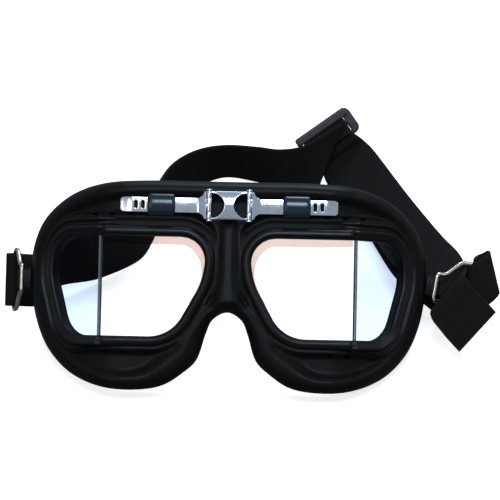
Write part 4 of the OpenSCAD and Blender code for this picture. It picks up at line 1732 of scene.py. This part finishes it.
    def crossing(self) -> tuple[Array, Array]:
        """Where the free end passes the right buckle, from corner to corner, on the table."""
        low, high = (4, -self.bar_h / 2 + 1.5), (self.length - 5, self.wide / 2 - 2.2)
        place = self.place(Side.RIGHT)
        return tuple(STANCE.strap(place(self.buckle_spot(Side.RIGHT, *spot))) for spot in (low, high))

    def build(self) -> None:
        """Builds both sides."""
        for side in Side:
            self.lug(side)
            self.wire(side)
            self.loop(side)
            self.stitches(side)


def pairs(*bodies: str) -> list[tuple[str, str]]:
    """Each body with the next one."""
    return list(zip(bodies, bodies[1:]))


@dataclass
class Strap:
    """The long elastic strap on the table and the slider that sets its length.

    Attributes:
        slider_at: Middle of the slider, on the table.
        slider_l: Its length, slider_w its width and slider_t its thickness.
        window: Where its windows end on both sides of the middle.
        bar: Width of its middle and lower bars; rail is that of the thick upper one.
        end_plate: What it is longer on the right; cover is what the lip stands out past the rail.
        slack: Gap between a strap frame and what the strap is sewn to.
        spacing: Distance between the points of the slider.
        a: Direction along its bars; b is across them and n off its face.
    """

    finishes: Finishes
    lugs: Lugs
    slider_at: Triple = (48.7, 165.3, 26.6)
    slider_l: float = 31.0
    slider_w: float = 15.0
    slider_t: float = 2.0
    window: tuple[float, float] = (-12.9, 12.7)
    bar: float = 2.0
    rail: float = 3.5
    end_plate: float = 2.0
    cover: float = 1.0
    slack: float = 0.3
    spacing: float = 0.8
    a: Array = field(init=False)
    b: Array = field(init=False)
    n: Array = field(init=False)

    def __post_init__(self) -> None:
        """Finds the slider's directions."""
        self.a = units(np.array([0.81, 0.30, 0.51]))
        self.b = units(np.cross(self.a, [0, -0.82, 0.57]))
        self.n = np.cross(self.b, self.a)

    def on(self, b: float, n: float, a: float = 0.0) -> Array:
        """A point by the slider, on the table."""
        return np.array(self.slider_at) + self.a * a + self.b * b + self.n * n

    def way(self, a: float, b: float, n: float) -> Array:
        """A direction by the slider."""
        return units(self.a * a + self.b * b + self.n * n)

    @staticmethod
    def knot(at: Sequence[float], way: Sequence[float], factor: float = 1.0) -> list[float]:
        """One frame of a path: place, direction of the width and width factor."""
        return [*np.asarray(at, float), *units(np.asarray(way, float)), factor]

    def by_slider(self, places: Sequence[Sequence[float]]) -> list[list[float]]:
        """Frames by the slider, with the width along its bars; each b, n, a and a width factor."""
        return [self.knot(self.on(*(*p, 0.0)[:3]), -self.a, p[3] if len(p) > 3 else 1.0) for p in places]

    def left_path(self) -> list[list[float]]:
        """From the left loop to the rear length."""
        return [
            self.lugs.loop_frame(Side.LEFT, self.slack), [-83, 57.4, 18.2, 0, 0.36, 0.93, 1],
            [-64.2, 68.4, 14.6, 0, 0.15, 0.99, 1], [-46, 85.5, 12.9, 0, 0.03, 1, 1],
            [-40.1, 103.39, 12.53, 0, 0, 1, 1],
        ]

    def rear_path(self) -> list[list[float]]:
        """Behind the mask and up to the slider's middle bar."""
        f, on, way = self.knot, self.on, self.way
        return [
            [-40.1, 103.4, 12.53, 0, 0, 1, 1], [-37.2, 119, 12.53, 0, 0, 1, 1],
            [-30.5, 138, 12.53, 0, 0, 1, 1], [-19, 152.6, 12.5, 0, -0.12, 1, 1],
            [-4.6, 160.5, 12.4, 0, -0.28, 1, 1], [12, 158, 12.5, 0, -0.2, 1, 1],
            [25, 152.5, 13.3, -0.05, -0.05, 1, 1],
            f(on(7, 7, -19), way(0.5, -0.7, 0.5), 1.03), f(on(8.8, 8.2, -9.5), way(0.72, -0.62, 0.2), 1.2),
            f(on(9.7, 7.2, -4.6), way(0.82, -0.57, 0.05), 1.38),
            f(on(8.4, 5.4, -5), way(0.95, -0.3, 0), 1.15),
            f(on(6.3, 4.8, -1.5), self.a), f(on(3, 3), self.a),
        ]

    def tail_path(self) -> list[list[float]]:
        """Round the slider's middle bar and over the right buckle to the free end."""
        f = self.knot
        low, high = self.lugs.crossing()
        mid, across = (low + high) / 2, units(high - low)
        hanging = [-0.66, -0.43, -0.61]
        round_bar = [(2.7, 2.9), (0.2, 2.2), (-2.2, 1.6), (-3, 0), (-2.2, -1.6), (0, -2.1), (2.1, -1.6)]
        away = [(4.5, 1.2), (6.6, 2.3), (10, 2.2, 0.5, 1.06), (14, 0, 1, 1.12)]
        return [
            *self.by_slider(round_bar + away),
            f([62.5, 150, 16.6], [-0.8, -0.25, -0.5], 1.16),
            f([78.5, 114, 14.5], [-0.8, -0.3, -0.42], 1.08),
            f([91.5, 78, 15.5], [-0.8, -0.3, -0.4], 1.13), f([100, 55, 22], [-0.8, -0.4, -0.45], 0.94),
            f(mid, -across, float(np.linalg.norm(high - low)) / self.lugs.band.width),
            f(mid + [-3.2, -9.1, -1.0], [-0.67, -0.43, -0.61], 0.95),
            f(mid + [2.85, -14.5, -7.0], hanging), f(mid + [10.7, -19.9, -13.6], hanging),
        ]

    def short_path(self) -> list[list[float]]:
        """From the slider's lower bar to the right loop."""
        f, half = self.knot, self.slider_w / 2
        loops = [self.lugs.loop_frame(Side.RIGHT, self.slack + further) for further in (9, 0)]
        return [
            *self.by_slider([(half + self.slack, 0), (half + 1.6, -0.4), (half + 5, -4)]),
            f([63, 145, 11.3], [-0.8, -0.25, -0.48]), f([78, 114, 10.2], [-0.8, -0.3, -0.4]),
            f([90, 76, 10.8], [-0.78, -0.3, -0.42]), f([99, 58, 12.5], [-0.68, -0.42, -0.55]),
            *[[*v[:3], -v[3], -v[4], -v[5], v[6]] for v in loops],
        ]

    def chain(self, name: str, node: str, path: list[list[float]], steps: int, cuts: Sequence[float],
              owners: Sequence[str | tuple[str, str]]) -> None:
        """Lays a band along a path, cuts it across and puts each length that has one owner on that body.

        Args:
            name: Start of the pieces' names.
            node: CAD node that the band stands for.
            path: Frames of place, width direction and width factor.
            steps: Number of steps along it.
            cuts: Shares of its length where it is cut.
            owners: For each length a body, or the two bodies at its ends, which it is not put on.
        """
        fine = open_spline(np.array(path, float), steps)
        band = self.lugs.band
        form = band.form(fine[:, :3], fine[:, 3:6], fine[:, 6], STANCE.table)
        form.shading = form.normals()
        middles = STANCE.table(fine[:, :3])
        rows = [0, *[round(c * steps) for c in cuts], steps]
        starts = np.array([min(f) // len(band.ring) for f in form.faces])
        starts[-2], starts[-1] = 0, steps - 1
        for k, (first, last, owner) in enumerate(zip(rows, rows[1:], owners), 1):
            chosen = [f for f, row in zip(form.faces, starts) if first <= row < last]
            piece = form.only(chosen).build(f"{name}_{k}", self.finishes.webbing)
            if isinstance(owner, str):
                ride(piece, Slot.WEBBING, owner, node)
                continue
            margin = max(1, (last - first) // 8)
            bend(piece, Slot.WEBBING, owner, (middles[first + margin], middles[last - margin]), node)

    def block(self, x: tuple[float, float], z: tuple[float, float], radii: tuple[float, float],
              steps: int) -> Array:
        """Rounded rectangle in the slider's plan.

        Args:
            x: Its ends.
            z: Its sides.
            radii: Radius of its corners on the left and on the right.
            steps: Number of steps round each corner.

        Returns:
            Points of the closed outline.
        """
        corners = [(x[k], z[m], radii[k]) for k, m in ((0, 0), (1, 0), (1, 1), (0, 1))]
        return evened(rounded_polygon(corners, steps), self.spacing)

    def slider_place(self, p: Array) -> Array:
        """From the slider's own plan and depth to metres."""
        x, depth, z = np.moveaxis(np.asarray(p, float), -1, 0)
        own = np.array(self.slider_at) + x[:, None] * self.a - z[:, None] * self.b - depth[:, None] * self.n
        return STANCE.table(own)

    def slider(self) -> None:
        """The slider: a plate with two windows, and a thick rail with a lip along its upper side."""
        l, w = self.slider_l / 2, self.slider_w / 2
        right, inner = l + self.end_plate, w - self.rail
        outline = self.block((-l, right), (-w, w), (2.6, 3.6), 8)
        gaps = ((self.bar - w, -self.bar / 2), (self.bar / 2, inner))
        windows = [self.block(self.window, gap, (0.8, 0.8), 4) for gap in gaps]
        rail = self.block((-l, right - 1.5), (inner, w), (1.5, 1.5), 6)
        over = rail - [0, self.cover] * (rail[:, 1:] < w - self.rail / 2)
        layers = (
            (outline, windows, 0.75, -self.slider_t / 2, self.slider_t),
            (rail, [], 1.1, -1.5, 2.6),
            (over, [], 0.4, -2.3, 0.9),
        )
        forms = [
            plate(plan, holes, edge, self.spacing, lambda p: np.full(len(p), front), thick, self.slider_place)
            for plan, holes, edge, front, thick in layers
        ]
        piece = joined(form.outward() for form in forms).build("slider_bars", self.finishes.slider)
        ride(piece, Slot.SLIDER, "slider", "slider_frame")

    def build(self) -> None:
        """Builds the strap and the slider."""
        left = pairs("left_buckle", "left_half", "left_leaf", "bridge")
        back = ["bridge", ("bridge", "slider")]
        right = [*pairs("slider", "bridge", "right_leaf", "right_half", "right_buckle"), "right_buckle"]
        free_cuts, short_cuts = (0.45, 0.59, 0.745, 0.775, 0.82), (0.27, 0.66, 0.73, 0.88)
        self.chain("strap_left", "strap_run_left", self.left_path(), 110, (0.3, 0.4), left)
        self.chain("strap_back", "strap_rear", self.rear_path(), 300, (0.5,), back)
        self.chain("strap_free", "strap_tail", self.tail_path(), 320, free_cuts, ["slider", *right])
        self.chain("strap_short_run", "strap_short", self.short_path(), 240, short_cuts, right)
        self.slider()


@dataclass
class Vents:
    """Vent holes in the ledges above and below the front panes, drawn as beads of painted shade.

    Attributes:
        first: Distance of the first hole from the middle; the holes stand a pitch apart.
        rows: For each row, how much further out it starts, its height and the number of holes.
        size: Length, width and height of the painted-shade bead at each opening.
    """

    mask: Mask
    finishes: Finishes
    beads: Scatter
    first: float = 28.0
    pitch: float = 8.0
    rows: tuple[tuple[float, float, int], ...] = ((0.0, 31.9, 5), (18.0, -29.0, 2))
    size: Triple = (3.0, 1.3, 1.2)

    def build(self) -> None:
        """Sets a near-black bead at each vent: painted shade where the hole would be."""
        starts = [(self.first + more, z, n) for more, z, n in self.rows]
        plan = np.array([(start + k * self.pitch, z) for start, z, n in starts for k in range(n)])
        x, z = plan.T
        none, one, slope = np.zeros(len(x)), np.ones(len(x)), np.where(x < 44, 0.0, (x - 44) / 30)
        own = ((none, none, none), (x, self.mask.skin(plan), z), (slope, -one, none), (one, slope, none))
        for side in Side:
            middle, spots, faces, ways = (STANCE.row(np.stack(v, 1) * [side.value, 1, 1]) for v in own)
            piece = self.beads.make(f"vents_{side.word}", spots, ways - middle, faces - middle, self.size,
                                    self.finishes.hole)
            ride(piece, Slot.RUBBER, f"{side.word}_half")


# Floor, light and camera


@dataclass(frozen=True)
class Lamp:
    """A square soft light that faces a point."""

    name: str
    at: Triple
    to: Triple
    size: float
    power: float
    colour: Triple

    def build(self) -> None:
        """Makes the light."""
        data = bpy.data.lights.new(self.name, "AREA")
        data.size, data.energy, data.color = self.size, self.power, self.colour
        turn = (Vector(self.to) - Vector(self.at)).to_track_quat("-Z", "Y").to_matrix().to_4x4()
        put(self.name, data).matrix_world = Matrix.Translation(Vector(self.at)) @ turn


@dataclass
class Studio:
    """A pale floor under soft light, and the camera of the photograph.

    Attributes:
        lean: How far the camera looks down; roll is how far it is tilted, both in degrees.
        distance: Way from the camera to the goggles, in metres.
        pixels_per_mm: Scale of the photograph there; size is its side in pixels.
        centre: Pixel of the photograph where the goggles' origin shows.
        sensor: Width of the camera's sensor, in millimetres.
        floor_half: Half the side of the floor, in metres.
        floor_seen: Colour and glow of the floor to the camera; floor_dull is its colour otherwise.
        sky: Colour and strength of the sky to the camera, to matt and to glossy surfaces.
        lamps: The lights.
    """

    lean: float = 35.0
    roll: float = 1.2
    distance: float = 0.8
    pixels_per_mm: float = 2.2421
    size: int = 500
    centre: tuple[float, float] = (227.5, 288.0)
    sensor: float = 36.0
    floor_half: float = 4.0
    floor_seen: tuple[float, float] = (0.9, 0.78)
    floor_dull: Triple = (0.2, 0.19, 0.18)
    sky: tuple[tuple[Triple, float], ...] = (
        ((1, 1, 1), 1.0), ((0.78, 0.86, 1.0), 0.11), ((0.8, 0.9, 1.0), 0.47),
    )
    lamps: tuple[Lamp, ...] = (
        Lamp("window", (0.15, 0.75, 0.95), (0, -0.02, 0.04), 0.5, 7.8, (0.76, 0.87, 1.0)),
        Lamp("front", (-0.5, -0.9, 0.7), (0, 0, 0.04), 0.5, 1.7, (1.0, 0.94, 0.85)),
        Lamp("sky", (0.03, -0.55, 0.95), (0, -0.05, 0.05), 0.3, 5.8, (0.66, 0.82, 1.0)),
        Lamp("right", (0.9, 0.0, 0.6), (0, 0, 0.05), 0.3, 0.9, (0.9, 0.95, 1.0)),
    )

    def camera(self) -> None:
        """Sets the camera."""
        e, r = math.radians(self.lean), math.radians(self.roll)
        right0, ahead = np.array([1.0, 0, 0]), np.array([0, math.cos(e), -math.sin(e)])
        up0 = np.cross(right0, ahead)
        right = right0 * math.cos(r) + up0 * math.sin(r)
        up = -right0 * math.sin(r) + up0 * math.cos(r)
        f = self.pixels_per_mm * self.distance * MM
        half = self.size / 2
        shift = (self.centre[0] - half) / f * right + (half - self.centre[1]) / f * up
        eye = np.array(STANCE.origin) / MM - self.distance * (ahead + shift)
        data = bpy.data.cameras.new("camera")
        data.sensor_width, data.lens = self.sensor, self.sensor * f / self.size
        data.clip_start, data.clip_end = 0.05, 20
        camera = put("camera", data)
        turn = Matrix(np.stack([right, up, -ahead], 1).tolist()).to_4x4()
        camera.matrix_world = Matrix.Translation(Vector(eye.tolist())) @ turn
        bpy.context.scene.camera = camera

    def backdrop(self) -> None:
        """The floor, white to the camera and darker grey to the things on it."""
        g = Graph(bpy.data.materials.new("floor"))
        pale, glow = self.floor_seen
        base = g.shader("BsdfDiffuse", Color=(pale, pale, pale, 1.0))
        light = g.shader("Emission", Color=(1, 1, 1, 1), Strength=glow)
        both = g.node("ShaderNodeAddShader", None, {0: base, 1: light}).outputs[0]
        dull = g.shader("BsdfDiffuse", Color=(*self.floor_dull, 1.0))
        seen = g.node("ShaderNodeLightPath").outputs["Is Camera Ray"]
        r = self.floor_half
        mesh = bpy.data.meshes.new("floor")
        mesh.from_pydata([(-r, -r, 0), (r, -r, 0), (r, r, 0), (-r, r, 0)], [], [(0, 1, 2, 3)])
        mesh.materials.append(g.out(g.mix(seen, dull, both)))
        put("floor", mesh)

    def surroundings(self) -> None:
        """The sky, white to the camera and softer to the object."""
        g = Graph(bpy.data.worlds.new("sky"))
        path = g.node("ShaderNodeLightPath").outputs
        white, matt, glossy = (g.shader("Background", Color=(*c, 1), Strength=s) for c, s in self.sky)
        seen = g.mix(path["Is Camera Ray"], g.mix(path["Is Glossy Ray"], matt, glossy), white)
        bpy.context.scene.world = g.out(seen, "World")

    def build(self) -> None:
        """Sets the camera, the floor and the light."""
        bpy.context.scene.view_settings.view_transform = "Standard"
        self.camera()
        self.backdrop()
        self.surroundings()
        for lamp in self.lamps:
            lamp.build()


def main() -> None:
    """Builds everything on the frame."""
    logging.basicConfig(level=logging.INFO, format="%(message)s")
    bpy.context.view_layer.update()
    finishes, beads, eye = Finishes(), Scatter(), Eye()
    Studio().build()
    mask = Mask(eye, finishes)
    mask.build()
    Rims(eye, finishes).build()
    Bridge(finishes).build()
    lugs = Lugs(finishes, beads)
    lugs.build()
    Strap(finishes, lugs).build()
    Vents(mask, finishes, beads).build()


if __name__ == "__main__":
    main()
